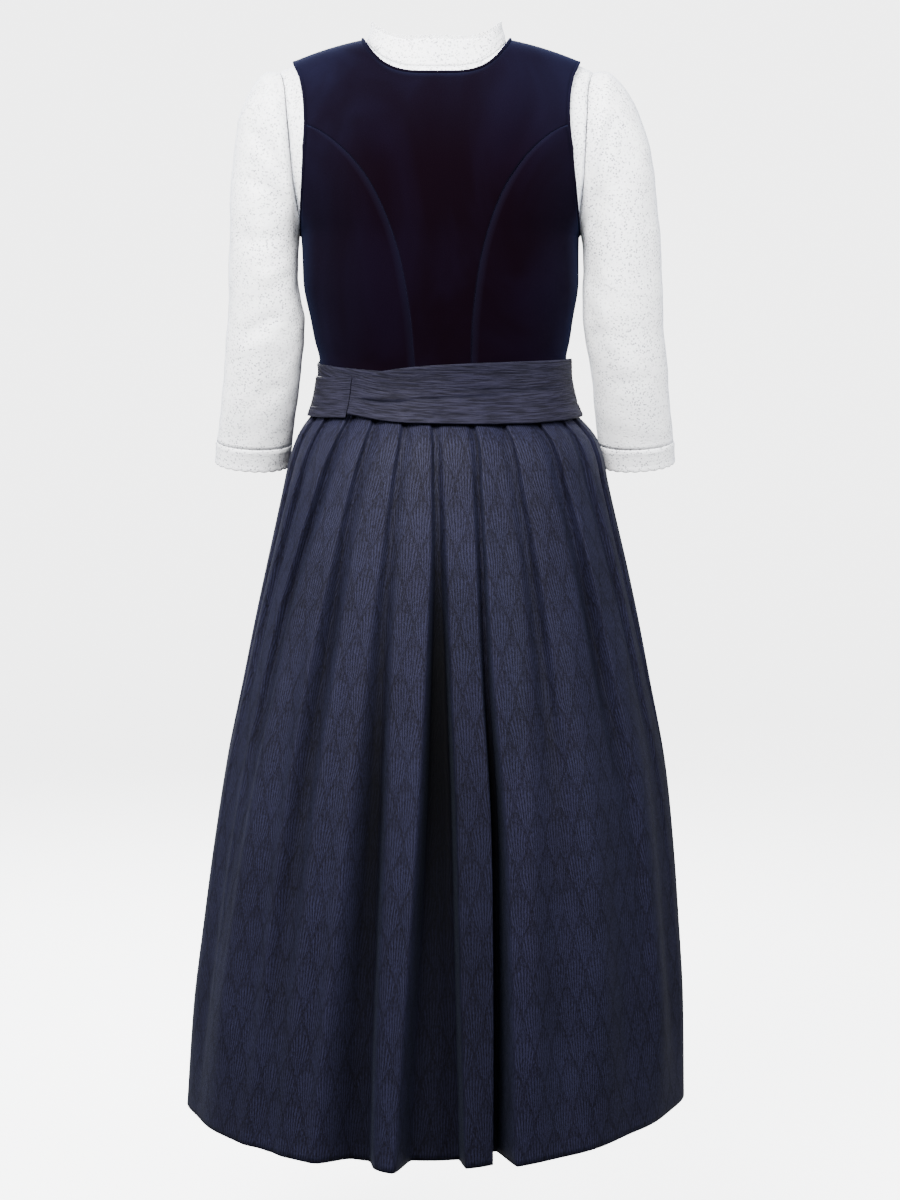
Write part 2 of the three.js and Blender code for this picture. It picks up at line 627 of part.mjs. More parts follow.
// The panel between the princess seam and the side seam, up to the armhole.
function bodiceSide(side) {
  const { armhole, seam, junction, seamLevels } = bodiceSeam(side);
  const seamAngle = (z) => sectionAngle(seam(z) + SEAM_GAP / 2, z, 0);
  const columns = SIDE_COLUMNS[side].map((share) => {
    const meets = (z) => seamAngle(z) * (1 - share) - sectionAngle(armhole(z), z, 0);
    const top = share === 0 ? junction - SEAM_GAP : share === 1 ? UNDERARM : root(meets, UNDERARM, junction);
    return { share, top };
  });
  return seamLevels.map((level) => {
    const rise = (level - WAIST) / (junction - WAIST);
    return columns.map(({ share, top }) => {
      const z = share === 0 ? Math.min(level, top) : mix(WAIST, top, rise);
      const angle = seamAngle(z) * (1 - share);
      return formPoint(side, sectionX(angle, z, 0), z, 0);
    });
  });
}

// A narrow binding along an edge of the bodice: a rod beside the panels' own edge points, on the
// side of the edge that `away` gives at its first point.
function binding(name, material, edge, away, closed) {
  const rings = edge.map((p, i) => {
    const tangent = direction(edge, i, closed).normalize();
    const normal = formNormal(p, 0);
    const side = normal.clone().cross(tangent).normalize();
    return { p, normal, side };
  });
  const sign = Math.sign(rings[0].side.dot(away));
  const points = rings.flatMap(({ p, normal, side }) => {
    const centre = p.clone().addScaledVector(side, sign * (BINDING_RADIUS + BINDING_GAP));
    centre.addScaledVector(normal, -VELVET / 2);
    return steps(BINDING_SIDES).slice(1).map((share) => {
      const turn = 2 * Math.PI * share;
      const around = normal.clone().multiplyScalar(Math.sin(turn)).addScaledVector(side, Math.cos(turn));
      return centre.clone().addScaledVector(around, BINDING_RADIUS);
    });
  });
  const count = edge.length;
  const id = (i, j) => (i % count) * BINDING_SIDES + (j % BINDING_SIDES);
  const index = [];
  for (let i = 0; i < (closed ? count : count - 1); i++) {
    for (let j = 0; j < BINDING_SIDES; j++) {
      index.push(id(i, j), id(i, j + 1), id(i + 1, j + 1), id(i, j), id(i + 1, j + 1), id(i + 1, j));
    }
  }
  for (let j = 1; j + 1 < BINDING_SIDES && !closed; j++) {
    index.push(id(0, 0), id(0, j + 1), id(0, j));
    index.push(id(count - 1, 0), id(count - 1, j), id(count - 1, j + 1));
  }
  return solid(name, material, points, index);
}

// The neckline from the centre front over the left shoulder and the back to the centre front again.
function neckEdge() {
  const inNeck = (p) => Math.abs(p.x - torsoLean(p.z)) <= NECK_HALF + 0.01;
  const left = bodiceCentre("front").at(-1).filter(inNeck);
  const back = bodiceCentre("back").at(-1).filter(inNeck).reverse();
  const right = otherSide([left])[0].reverse();
  return [...left.slice(0, -1), ...back, ...right.slice(1)];
}

// The left armhole from the shoulder tip down the back, under the arm and up the front.
function armholeEdge() {
  const along = (side) => {
    const { junction } = bodiceSeam(side);
    const column = bodiceCentre(side).map((row) => row.at(-1)).filter((p) => p.z >= junction - 0.01);
    return [...column.reverse(), ...bodiceSide(side).at(-1).slice(1)];
  };
  return [...along("back"), ...along("front").slice(1, -1).reverse()];
}

function bodice(velvet) {
  const surface = (p) => formNormal(p, 0);
  const pieces = [wall("bodice_back", velvet, bodiceCentre("back"), VELVET, { surface })];
  const sides = {
    bodice_side_back: bodiceSide("back"),
    bodice_side_front: bodiceSide("front"),
    bodice_front: bodiceCentre("front"),
  };
  const armhole = armholeEdge();
  const outwards = new THREE.Vector3(1, 0, 0);
  pieces.push(binding("bodice_neck_binding", velvet, neckEdge(), new THREE.Vector3(0, 0, 1), false));
  pieces.push(binding("bodice_armhole_binding_left", velvet, armhole, outwards, true));
  const other = otherSide([armhole])[0];
  pieces.push(binding("bodice_armhole_binding_right", velvet, other, outwards.clone().negate(), true));
  for (const [name, grid] of Object.entries(sides)) {
    pieces.push(wall(`${name}_left`, velvet, grid, VELVET, { surface }));
    pieces.push(wall(`${name}_right`, velvet, otherSide(grid), VELVET, { surface }));
  }
  return pieces;
}

// ---------------------------------------------------------------- blouse
const armscyeX = column(ARMSCYE, "x");
const ARMSCYE_STEPS = steps(SLEEVE_COLUMNS / 2);
const armscyeLevel = (share) => {
  const { tip, underarm } = BLOUSE_NECK;
  return mix(underarm, tip, (1 + Math.cos(Math.PI * share)) / 2);
};

function blouseNeckline(side, x) {
  const { half } = BLOUSE_NECK;
  const bend = side === "back" ? 3.4 : 2.4;
  return mix(BLOUSE_NECK[side], ridge(half, BLOUSE_INSET), Math.min(1, Math.abs(x) / half) ** bend);
}

function blouseBody(side) {
  const { half, tip, underarm } = BLOUSE_NECK;
  const lower = [BLOUSE_HEM, -276, -250, -228];
  const upper = ARMSCYE_STEPS.map(armscyeLevel).reverse();
  const sideX = (z) => (z < underarm - 1 ? torsoWidth(z) - BLOUSE_INSET : armscyeX(z));
  return centrePanel({
    side,
    inset: BLOUSE_INSET,
    levels: [...lower, ...upper],
    edge: sideX,
    across: panelColumns(side, half, armscyeX(tip), [0.4, 0.75, 1]),
    neckline: (x) => blouseNeckline(side, x),
    neckHalf: half,
  });
}

// The collar stands on the blouse's own neckline, from the centre front round to it again. A point
// of its base is a point of the blouse panels' top edge.
function collarGrid() {
  const inNeck = (p) => Math.abs(p.x - torsoLean(p.z)) <= BLOUSE_NECK.half + 0.01;
  const left = blouseBody("front").at(-1).filter(inNeck);
  const back = blouseBody("back").at(-1).filter(inNeck).reverse().slice(1, -1);
  const right = otherSide([left])[0].reverse();
  const base = [...left, ...back, ...right];
  return steps(2).map((up) =>
    base.map((p) => {
      const facing = p.y / Math.hypot(p.x, p.y);
      const height = mix(COLLAR.side, facing > 0 ? COLLAR.back : COLLAR.front, facing ** 2);
      const z = p.z + SEAM_GAP + 0.3 + height * up;
      return new THREE.Vector3(p.x * mix(1, COLLAR.leanX, up), p.y * mix(1, COLLAR.leanY, up), z);
    }),
  );
}

const armDrift = column(ARM_DRIFT, "x");

// One ring of a sleeve as it would be on the left: from its upper point over the back to its under
// point and up the front. hand is 1 for the left sleeve and -1 for one that is to be turned over.
function sleeveRing(row, hand) {
  const middle = new THREE.Vector3((row.ux + row.ox) / 2, row.y, (row.uz + row.oz) / 2);
  const reach = new THREE.Vector3((row.ox - row.ux) / 2, 0, (row.oz - row.uz) / 2);
  return steps(SLEEVE_COLUMNS).slice(0, -1).map((share) => {
    const turn = 2 * Math.PI * share;
    const across = Math.sin(turn) * row.depth;
    const point = middle.clone().addScaledVector(reach, Math.cos(turn));
    point.y += across;
    const lower = clamp((CUFF_TILT.from - middle.z) / CUFF_TILT.over, 0, 1);
    point.z -= across * CUFF_TILT.most * smooth(lower);
    const whole = clamp((DRIFT_WHOLE.from - row.uz) / DRIFT_WHOLE.over, 0, 1);
    point.x += torsoLean(point.z) + hand * armDrift(point.z) * mix((1 + Math.cos(turn)) / 2, 1, whole);
    return point;
  });
}

function armscyeRing() {
  const half = (side) =>
    ARMSCYE_STEPS.map((share) => {
      const z = armscyeLevel(share);
      const point = formPoint(side, armscyeX(z), z, BLOUSE_INSET);
      point.x += SEAM_GAP + 0.1;
      return point;
    });
  return [...half("back"), ...half("front").slice(1, -1).reverse()];
}

const sleeveGrid = (hand) => [armscyeRing(), ...SLEEVE.map((row) => sleeveRing(row, hand))];
const cuffGrid = (hand) => CUFF.map((row) => sleeveRing(row, hand));

// The middle of a sleeve at a point's height, which lies inside the tube.
const sleeveMiddle = column(
  SLEEVE.map((row) => ({ z: (row.uz + row.oz) / 2, x: (row.ux + row.ox) / 2 })),
  "x",
);
const armAxis = (p) => new THREE.Vector3(Math.sign(p.x) * sleeveMiddle(p.z), 0, p.z);

function blouse(lace) {
  const front = blouseBody("front");
  const surface = (p) => formNormal(p, BLOUSE_INSET);
  const pieces = [
    wall("blouse_back", lace, blouseBody("back"), LACE, { surface }),
    wall("blouse_front_left", lace, front, LACE, { surface }),
    wall("blouse_front_right", lace, otherSide(front), LACE, { surface }),
    wall("blouse_collar", lace, collarGrid(), LACE),
  ];
  for (const [side, hand] of Object.entries({ left: 1, right: -1 })) {
    const tube = { core: armAxis, ring: true };
    const turned = (grid) => (hand > 0 ? grid : otherSide(grid));
    pieces.push(wall(`blouse_sleeve_${side}`, lace, turned(sleeveGrid(hand)), LACE, tube));
    pieces.push(wall(`blouse_cuff_${side}`, lace, turned(cuffGrid(hand)), LACE, tube));
  }
  return pieces;
}

// ---------------------------------------------------------------- skirt
const skirtColumn = Object.fromEntries(
  ["width", "back", "front", "middle", "shear"].map((name) => [name, column(SKIRT, name)]),
);
const skirtHeight = (t) => mix(SKIRT[0].z, HEM, t);

// A point on the skirt's level section: angle from the centre back, height, distance out from it.
function skirtPoint(degrees, z, out) {
  const turn = radians(degrees);
  const [sin, cos] = [Math.sin(turn), Math.cos(turn)];
  const share = clamp((SKIRT[0].z - z) / (SKIRT[0].z - HEM), 0, 1);
  const bend = 2 / mix(SKIRT_POWER.waist, SKIRT_POWER.hem, Math.sqrt(share));
  const width = skirtColumn.width(z);
  const depth = cos >= 0 ? skirtColumn.back(z) : skirtColumn.front(z);
  const x = -width * power(sin, bend);
  const y = depth * power(cos, bend);
  const normal = new THREE.Vector2(-sin / width, cos / depth).normalize();
  const px = x + normal.x * out;
  const py = y + normal.y * out;
  return new THREE.Vector3(px + skirtColumn.middle(z), py + skirtColumn.shear(z) * px, z);
}

// The same, with the hem's own ups and downs worked in, at share t of the way down to it.
function hangPoint(degrees, z, out, t) {
  const sway = mix(HEM_SWAY.centre, HEM_SWAY.side, Math.sin(radians(degrees)) ** 2);
  const point = skirtPoint(degrees, z, out);
  point.z -= sway * t * t;
  return point;
}

// The pleats of one front half; side is 1 for the wearer's right and -1 for the left.
const frontPleats = (side) =>
  steps(FRONT_PLEATS - 1).map((_, i) => {
    const place = side * (FRONT_PLEAT.first + i * FRONT_PLEAT.step);
    const degrees = side > 0 ? place : place + 360;
    return { ...FRONT_PLEAT, plain: true, at: PLEAT_HEIGHTS.map(() => degrees) };
  });

// The columns that carry a pleat, each with its distance out from the section: its folded edge, the
// middle of its soft side, and the two sides of its floor, or one for both where it is plain.
function pleatColumns(pleat, t) {
  const place = through(PLEAT_HEIGHTS, pleat.at)(t);
  const opened = mix(PLEAT_SHAPE.top, 1, clamp(t / PLEAT_HEIGHTS[0], 0, 1));
  const depth = through(PLEAT_HEIGHTS, pleat.depth)(t) * opened;
  const half = through(PLEAT_HEIGHTS, pleat.half)(t);
  const edge = mix(...pleat.edge, t);
  const soft = mix(...pleat.soft, Math.sqrt(t));
  const away = place > 180 ? -1 : Math.sign(place);
  const ridgeAndSoft = [
    { degrees: place + away * (half + edge), out: 0 },
    { degrees: place - away * (half + soft * PLEAT_SHAPE.softPlace), out: -depth * PLEAT_SHAPE.softDepth },
  ];
  if (pleat.plain) return [...ridgeAndSoft, { degrees: place, out: -depth }];
  return [
    ...ridgeAndSoft,
    { degrees: place + away * half, out: -depth },
    { degrees: place - away * half, out: -depth },
  ];
}

function skirtHalf(pleats, from, to) {
  return SKIRT_LEVELS.map((t) => {
    const inside = pleats.flatMap((pleat) => pleatColumns(pleat, t));
    const columns = [{ degrees: from, out: 0 }, ...inside, { degrees: to, out: 0 }];
    columns.sort((a, b) => a.degrees - b.degrees);
    return columns.map(({ degrees, out }) => hangPoint(degrees, skirtHeight(t), out, t));
  }).reverse();
}

// The back is one piece. The front is cut in two, so that the dress opens down the centre front.
function skirt(jacquard) {
  const seam = 0.1; // degrees that an edge stands back from its seam: 0.3 mm on average
  const right = skirtHalf(frontPleats(1), 90 + seam, 180 - seam);
  const left = skirtHalf(frontPleats(-1), 180 + seam, 270 - seam);
  return [
    wall("skirt_back", jacquard, skirtHalf(PLEATS, -90 + seam, 90 - seam), JACQUARD),
    wall("skirt_front_left", jacquard, left, JACQUARD),
    wall("skirt_front_right", jacquard, right, JACQUARD),
  ];
}

// ---------------------------------------------------------------- apron
// How far the crests of the apron's gathers stand out from the skirt's section at height z.
function apronCrest(z) {
  const t = clamp((z - APRON.top) / (APRON_HEM - APRON.top), 0, 1);
  return APRON.clear + CRINKLE + mix(APRON.topRise, APRON.hemRise, Math.sqrt(t));
}

function apronPanel(crinkle) {
  const columns = steps(APRON.gathers * GATHER.crests.length);
  const grid = APRON_LEVELS.map((t) => {
    const z = mix(APRON.top, APRON_HEM, t);
    const low = APRON.clear + CRINKLE;
    return columns.map((share, i) => {
      const height = mix(1, GATHER.least, (1 - Math.sin(i * GATHER.turn)) / 2);
      const crest = GATHER.crests[i % GATHER.crests.length] * height;
      return hangPoint(mix(APRON.from, APRON.to, share), z, mix(low, apronCrest(z), crest), t);
    });
  }).reverse();
  return wall("apron_panel", crinkle, grid, CRINKLE);
}

const sashBed = Object.fromEntries(
  ["width", "back", "front", "lean"].map((name) => [name, column(SASH_BED, name)]),
);

// A point on that bed: angle from the centre back, height, distance out from it.
function bedPoint(degrees, z, out) {
  const turn = radians(degrees);
  const [sin, cos] = [Math.sin(turn), Math.cos(turn)];
  const width = sashBed.width(z);
  const depth = sashBed[cos >= 0 ? "back" : "front"](z);
  const normal = new THREE.Vector2(-sin / width, cos / depth).normalize();
  const x = -width * power(sin, 2 / BODY_POWER) + normal.x * out;
  return new THREE.Vector3(x + sashBed.lean(z), depth * power(cos, 2 / BODY_POWER) + normal.y * out, z);
}

function apronBand(crinkle) {
  const grid = steps(4).map((up) =>
    steps(32).map((share) => {
      const z = mix(BAND.bottom, BAND.top, up);
      return bedPoint(mix(BAND.from, BAND.to, share), z, LAYER.middle + CRINKLE);
    }),
  );
  return wall("apron_band", crinkle, grid, CRINKLE);
}

function tie(name, crinkle, rows, count) {
  const way = rows.map((row, i) => ({ ...row, i }));
  const [deg, low, high, layer] = ["deg", "low", "high", "layer"].map((key) => column(way, key, "i"));
  const along = steps(count).map((share) => share * (rows.length - 1));
  const grid = steps(4).map((up) =>
    along.map((i) => bedPoint(deg(i), mix(low(i), high(i), up), layer(i) + CRINKLE)),
  );
  return wall(name, crinkle, grid, CRINKLE);
}

const perDegree = (z) => radians(1) * skirtColumn.width(z); // mm along the waist

// A point in front of the apron, beside the knot by `aside` mm along the waist.
function bowPoint(aside, z, out) {
  const turned = aside / perDegree(Math.min(z, BAND.bottom));
  return skirtPoint(BOW.deg + turned, Math.min(z, SKIRT[0].z), BOW.clear + out);
}

// A loop of the bow: out along the apron, round its tip and back to the knot in front of itself.
function bowLoop(name, crinkle, direction) {
  const path = steps(15).slice(0, -1).map((share) => {
    const turn = Math.PI * (2 * share - 0.5);
    const ahead = Math.max(0, -Math.cos(turn)) ** 0.8;
    const behind = Math.max(0, Math.cos(turn)) ** 0.8;
    const aside = mix(LOOP.root, LOOP.reach, (1 + Math.sin(turn)) / 2);
    return { aside, out: BOW.lift + LOOP.back * (1 - behind) + LOOP.puff * ahead };
  });
  const grid = steps(2).map((up) =>
    path.map(({ aside, out }) => {
      const full = Math.sqrt(clamp((aside - LOOP.root) / (LOOP_HALF.fullAt - LOOP.root), 0, 1));
      const half = mix(LOOP_HALF.root, LOOP_HALF.full, full);
      const z = BOW.z + LOOP.top - LOOP.droop * aside + mix(-half, half, up);
      return bowPoint(direction * aside, z, out);
    }),
  );
  const core = (p) => bowPoint((direction * LOOP.reach) / 2, p.z, BOW.lift + LOOP.puff / 2);
  return wall(name, crinkle, grid, CRINKLE, { core, ring: true });
}

function bowKnot(crinkle) {
  const geometry = new THREE.SphereGeometry(1, 12, 8);
  geometry.scale(KNOT.halfWide, KNOT.halfDeep, KNOT.halfHigh);
  const mesh = new THREE.Mesh(geometry, crinkle);
  mesh.name = "apron_bow_knot";
  mesh.position.copy(bowPoint(0, BOW.z, BOW.lift));
  mesh.rotation.z = radians(BOW.deg + 180);
  return mesh;
}

function bowTail(name, crinkle, direction, layer) {
  const grid = steps(12).map((t) => {
    const z = mix(TAIL.top, TAIL.bottom, t);
    const half = mix(TAIL.halfTop, TAIL.halfBottom, Math.sqrt(t)) / perDegree(z);
    const middle = BOW.deg + direction * mix(TAIL.splayTop, TAIL.splayBottom, t);
    return steps(4).map((across) => {
      const wave = TAIL_WAVE.height * (1 + Math.sin(across * TAIL_WAVE.across + t * TAIL_WAVE.along));
      return skirtPoint(middle + mix(-half, half, across), z, apronCrest(z) + CRINKLE + layer + wave);
    });
  }).reverse();
  return wall(name, crinkle, grid, CRINKLE);
}

function apron(crinkle) {
  return [
    apronPanel(crinkle),
    apronBand(crinkle),
    tie("apron_tie_left", crinkle, LEFT_TIE, 36),
    tie("apron_tie_right", crinkle, RIGHT_TIE, 32),
    bowLoop("apron_bow_loop_left", crinkle, 1),
    bowLoop("apron_bow_loop_right", crinkle, -1),
    bowKnot(crinkle),
    bowTail("apron_bow_tail_left", crinkle, 1, TAIL_LAYER.left),
    bowTail("apron_bow_tail_right", crinkle, -1, TAIL_LAYER.right),
  ];
}

// ---------------------------------------------------------------- the whole set
const cloth = (color, roughness) =>
  new THREE.MeshStandardMaterial({ color, roughness, metalness: 0, side: THREE.DoubleSide });

const dirndl = new THREE.Group();
dirndl.add(...bodice(cloth(0x131a33, 0.9)));
dirndl.add(...skirt(cloth(0x262e4a, 0.75)));
dirndl.add(...apron(cloth(0x343750, 0.7)));
dirndl.add(...blouse(cloth(0xeff2f8, 0.9)));

export default dirndl;
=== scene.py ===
"""A worn dirndl set: velvet bodice, jacquard skirt, crinkle apron and lace blouse, dressed around
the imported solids. Lengths are in millimetres, until a mesh is made from them in metres."""
import math

import bpy
import numpy as np
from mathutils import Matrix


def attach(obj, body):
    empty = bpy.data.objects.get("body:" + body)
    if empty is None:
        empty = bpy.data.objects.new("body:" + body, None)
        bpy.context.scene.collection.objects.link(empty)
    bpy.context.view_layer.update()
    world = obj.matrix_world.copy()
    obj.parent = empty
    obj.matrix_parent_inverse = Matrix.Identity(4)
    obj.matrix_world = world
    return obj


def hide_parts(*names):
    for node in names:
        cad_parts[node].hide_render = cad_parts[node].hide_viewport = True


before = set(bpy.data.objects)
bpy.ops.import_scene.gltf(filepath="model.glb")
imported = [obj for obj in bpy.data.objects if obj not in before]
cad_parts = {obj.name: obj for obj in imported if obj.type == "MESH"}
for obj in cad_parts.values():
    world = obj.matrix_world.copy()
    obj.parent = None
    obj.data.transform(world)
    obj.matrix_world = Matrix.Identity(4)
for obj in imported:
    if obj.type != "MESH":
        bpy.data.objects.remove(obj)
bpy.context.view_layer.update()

# ---------------------------------------------------------------- camera
PITCH = math.radians(6.6)  # how far the camera looks down
DISTANCE = 3000.0
AIM_X, AIM_Z = -14.8, -622.0  # what the middle of the picture shows, on the plane y = 0
LENS, SENSOR_HEIGHT = 79.65, 36
FAR_CLIP_M = 50


def add_camera():
    data = bpy.data.cameras.new("camera")
    data.sensor_fit = "VERTICAL"
    data.sensor_height = SENSOR_HEIGHT
    data.lens = LENS
    data.clip_end = FAR_CLIP_M
    camera = bpy.data.objects.new("camera", data)
    bpy.context.scene.collection.objects.link(camera)
    place = (AIM_X, DISTANCE * math.cos(PITCH), AIM_Z + DISTANCE * math.sin(PITCH))
    camera.location = [value / 1000 for value in place]
    camera.rotation_euler = (math.pi / 2 - PITCH, 0, math.pi)
    bpy.context.scene.camera = camera


add_camera()

# ---------------------------------------------------------------- sizes shared with the solids
NECK_HALF = 82
SHOULDER_SLOPE, SHOULDER_BEND = 0.2, 0.00143
SHOULDER_TIP, SLEEVE_TIP = 157.5, 172
UNDERARM, WAIST, HEM, APRON_HEM = -216, -388, -1203, -1180
BACK_NECK, FRONT_NECK = -41, -150
BODY_POWER, ARCH_POWER = 2.3, 2.5
BLOUSE_INSET, RIDGE_INSET = 6.2, 0.9
BLOUSE_HEM = -300
COLLAR_GAP, ARMSCYE_GAP = 0.7, 0.5  # between the blouse's body and what is sewn to it


def ridge(x, inset):
    """Height of the shoulder seam, on cloth that lies this far inside the bodice."""
    past = np.abs(x) - NECK_HALF
    return -SHOULDER_SLOPE * past - SHOULDER_BEND * np.maximum(0, past) ** 2 - inset * RIDGE_INSET


TORSO = [  # z, half width, depth to the back, depth to the front, lean
    (60, 194, 96, 82, 0),
    (-50, 208, 101, 93, 0),
    (-100, 205, 104, 101, -1),
    (-150, 188, 106, 110, -2.2),
    (-190, 166, 106, 115, -3.2),
    (UNDERARM, 154.4, 105, 117, -3.9),
    (-263, 153.4, 101, 113, -4.8),
    (-307, 146, 95, 104, -5.7),
    (-330, 142.4, 91, 99.5, -6.2),
    (-350, 138, 87.5, 95.5, -6.8),
    (-366, 137.4, 85, 92.5, -7.1),
    (WAIST, 140.2, 84, 91, -7.4),
]
BUST_X, BUST_Z, BUST_SPREAD_X, BUST_SPREAD_Z, BUST_HEIGHT = 76, -248, 46, 44, 19

# Seams and edges: z, half width
BACK_PRINCESS = [
    (WAIST, 30), (-316, 33), (-279, 37), (-244, 43), (-217, 50), (-187, 60.5), (-159, 74),
    (-133, 92.5), (-114, 112), (-102, 129), (-96, 142.4),
]
FRONT_PRINCESS = [
    (WAIST, 42), (-330, 50), (-290, 62), (-250, 75), (-220, 82), (-190, 92), (-160, 107),
    (-138, 122), (-122, 136.2),
]
SHOULDER_DROP = ridge(SHOULDER_TIP, 0)
BACK_ARMHOLE = [
    (UNDERARM, 154.4), (-211, 153.5), (-200, 151.8), (-176, 149.2), (-154, 147), (-132, 145),
    (-110, 143.2), (-88, 142.3), (-66, 143.5), (-43, 148), (-33, 152.5),
    (SHOULDER_DROP, SHOULDER_TIP),
]
FRONT_ARMHOLE = [
    (UNDERARM, 154.4), (-211, 153.3), (-200, 150.8), (-176, 146), (-154, 141), (-132, 137),
    (-110, 135.4), (-88, 136), (-66, 139), (-43, 146), (-33, 151.5),
    (SHOULDER_DROP, SHOULDER_TIP),
]

SKIRT = [  # z, half width, depth to the back, depth to the front, middle, shear
    (WAIST - 0.6, 140.6, 84.4, 91.4, -7.4, 0),
    (-400, 143.2, 86, 92.6, -7.6, 0),
    (-409, 146.4, 88.6, 94.6, -8, 0),
    (-416, 151.4, 93, 98, -8.6, 0),
    (-423, 157.6, 98.5, 102.6, -9.4, 0),
    (-431, 163.6, 104.5, 107.5, -10.4, 0),
    (-441, 169.2, 110.5, 113, -11.2, 0),
    (-463, 176.6, 120, 122.5, -11, 0.005),
    (-486, 181, 128, 130, -10.4, 0.01),
    (-531, 190.8, 141, 141, -10.4, 0.015),
    (-577, 201.2, 153, 151, -10.6, 0.02),
    (-645, 216, 169, 164, -10.6, 0.03),
    (-713, 229.6, 184, 177, -10.4, 0.04),
    (-805, 248, 202, 192, -10, 0.05),
    (-898, 260.8, 217, 204, -8.2, 0.06),
    (-991, 270.8, 229, 213, -6, 0.065),
    (-1085, 279.8, 239, 220, -3.8, 0.075),
    (HEM, 285.6, 249, 227, -1.4, 0.08),
]
SKIRT_TOP = SKIRT[0][0]
SKIRT_POWER_WAIST, SKIRT_POWER_HEM = 2.3, 1.87
HEM_SWAY_SIDE, HEM_SWAY_CENTRE = -10, 5

# Pleats, at five shares of the skirt's height. Angles run from the centre back to the wearer's right.
PLEAT_HEIGHTS = (0.04, 0.18, 0.32, 0.6, 1)
PLEATS = [  # angles, depths, half widths in degrees, folded edge and soft side at waist and hem
    ((-74, -79, -81, -82, -84), (5, 5, 3, 0, 0), (0.4, 0.5, 0.6, 1, 0.8), (0.7, 1.8), (11, 3)),
    ((-59, -67, -71, -74, -76), (5, 7, 5, 1, 0), (0.4, 0.5, 0.6, 1, 1), (0.7, 2.6), (12, 3.6)),
    ((-42.6, -52.7, -59.4, -63, -66), (6, 10, 10, 4, 0), (0.4, 0.5, 0.8, 1.5, 2), (0.7, 3.6), (12, 8)),
    ((-28.3, -34.2, -37, -40, -43), (6, 9, 14, 13, 5), (0.4, 0.4, 0.6, 1, 1.5), (0.7, 6), (12, 8)),
    ((-14.6, -17.2, -18.7, -19.3, -20.7), (6, 9, 15, 26, 34), (0.4, 0.4, 0.6, 1.2, 2),
     (0.7, 7.5), (9.5, 6.5)),
    ((-3.5, -2.4, -2.2, -1.5, -0.7), (6, 13, 26, 42, 46), (0.4, 0.6, 1.5, 3.6, 7), (0.7, 3.2), (6, 2.4)),
    ((9.5, 10.6, 11.2, 14, 16.2), (6, 10, 16, 34, 58), (0.4, 0.4, 0.5, 0.8, 1.3), (0.7, 1.4), (6, 1.4)),
    ((22, 26.3, 28.4, 30, 32), (6, 9, 12, 5, 0), (0.4, 0.4, 0.6, 1, 1.5), (0.7, 5), (11, 8)),
    ((39.8, 47.2, 50.9, 54, 56), (6, 10, 15, 6, 0), (0.4, 0.4, 0.8, 1.5, 2), (0.7, 3.6), (13, 9)),
    ((57, 65, 69, 73, 75), (5, 7, 6, 2, 0), (0.4, 0.5, 0.6, 1, 1), (0.7, 2.6), (12, 3.6)),
    ((73, 79, 81, 82, 84), (5, 5, 3, 0, 0), (0.4, 0.5, 0.6, 1, 0.8), (0.7, 1.8), (11, 3)),
]
FRONT_PLEAT_FIRST, FRONT_PLEAT_STEP, FRONT_PLEAT_COUNT = 104, 15.5, 5  # on each side
FRONT_PLEAT_SHAPE = ((5, 6, 7, 8, 9), (0.4, 0.5, 0.7, 1.2, 2), (0.7, 3), (11, 6))
PLEAT_TOP_DEPTH, PLEAT_SOFT_PLACE, PLEAT_SOFT_DEPTH = 0.75, 0.5, 0.3
PLEAT_CLOSED = 7  # a pleat this deep folds all its cloth away

SASH_BED = [  # z, half width, depth to the back, depth to the front, lean
    (-340, 140, 89, 97, -6.5),
    (-354, 137.9, 87, 95, -6.9),
    (-367, 137.9, 85.2, 92.8, -7.1),
    (-381, 139.8, 84.6, 91.6, -7.3),
    (-394, 142.6, 86, 92.8, -7.6),
    (-407, 147, 89.4, 95.4, -8),
    (-420, 153, 94.4, 99.4, -8.8),
]
CRINKLE = 1.2
UNDER, MIDDLE, OVER = 1, 3.1, 5.2
BAND_FROM, BAND_TO, BAND_TOP, BAND_BOTTOM = -42.6, -318, -369, -413
LEFT_TIE = [  # angle, lower edge, upper edge, distance out
    (-42.1, -408.6, -372, MIDDLE), (-36, -410.5, -368, MIDDLE), (-24, -414.5, -361.5, MIDDLE + 0.4),
    (-8, -417.5, -356.5, OVER - 0.3), (12, -418.5, -353, OVER), (34, -418, -351.5, OVER),
    (58, -415.5, -350.5, OVER), (84, -413, -350, OVER), (112, -410, -352, OVER),
    (140, -407, -357, OVER), (166, -404, -364, OVER), (183, -400, -371, OVER),
    (191, -397, -376, OVER),
]
RIGHT_TIE = [
    (41.5, -410, -371, MIDDLE), (30, -408, -370, MIDDLE - 0.4), (12, -405, -368, UNDER),
    (-12, -401, -365, UNDER), (-28, -398, -361.5, UNDER), (-44, -393, -359.5, UNDER),
    (-62, -387, -357, UNDER), (-78, -380, -355.5, UNDER), (-92, -373, -354, UNDER),
    (-103, -367.2, -350, UNDER + 0.2), (-112, -366.6, -347, MIDDLE + 0.6),
    (-121, -367.5, -346, OVER), (-133, -377, -350, OVER), (-145, -391, -362, OVER),
    (-154, -400, -376, OVER),
]
APRON_FROM, APRON_TO, APRON_TOP = 109, 251, -415
APRON_CLEAR, GATHERS, TOP_RISE, HEM_RISE = 1.6, 17, 2.6, 9
BOW_AT, BOW_Z, BOW_CLEAR, BOW_LIFT = -163, -389, 7.4, 8.5
TAIL_TOP, TAIL_BOTTOM = -408, -835

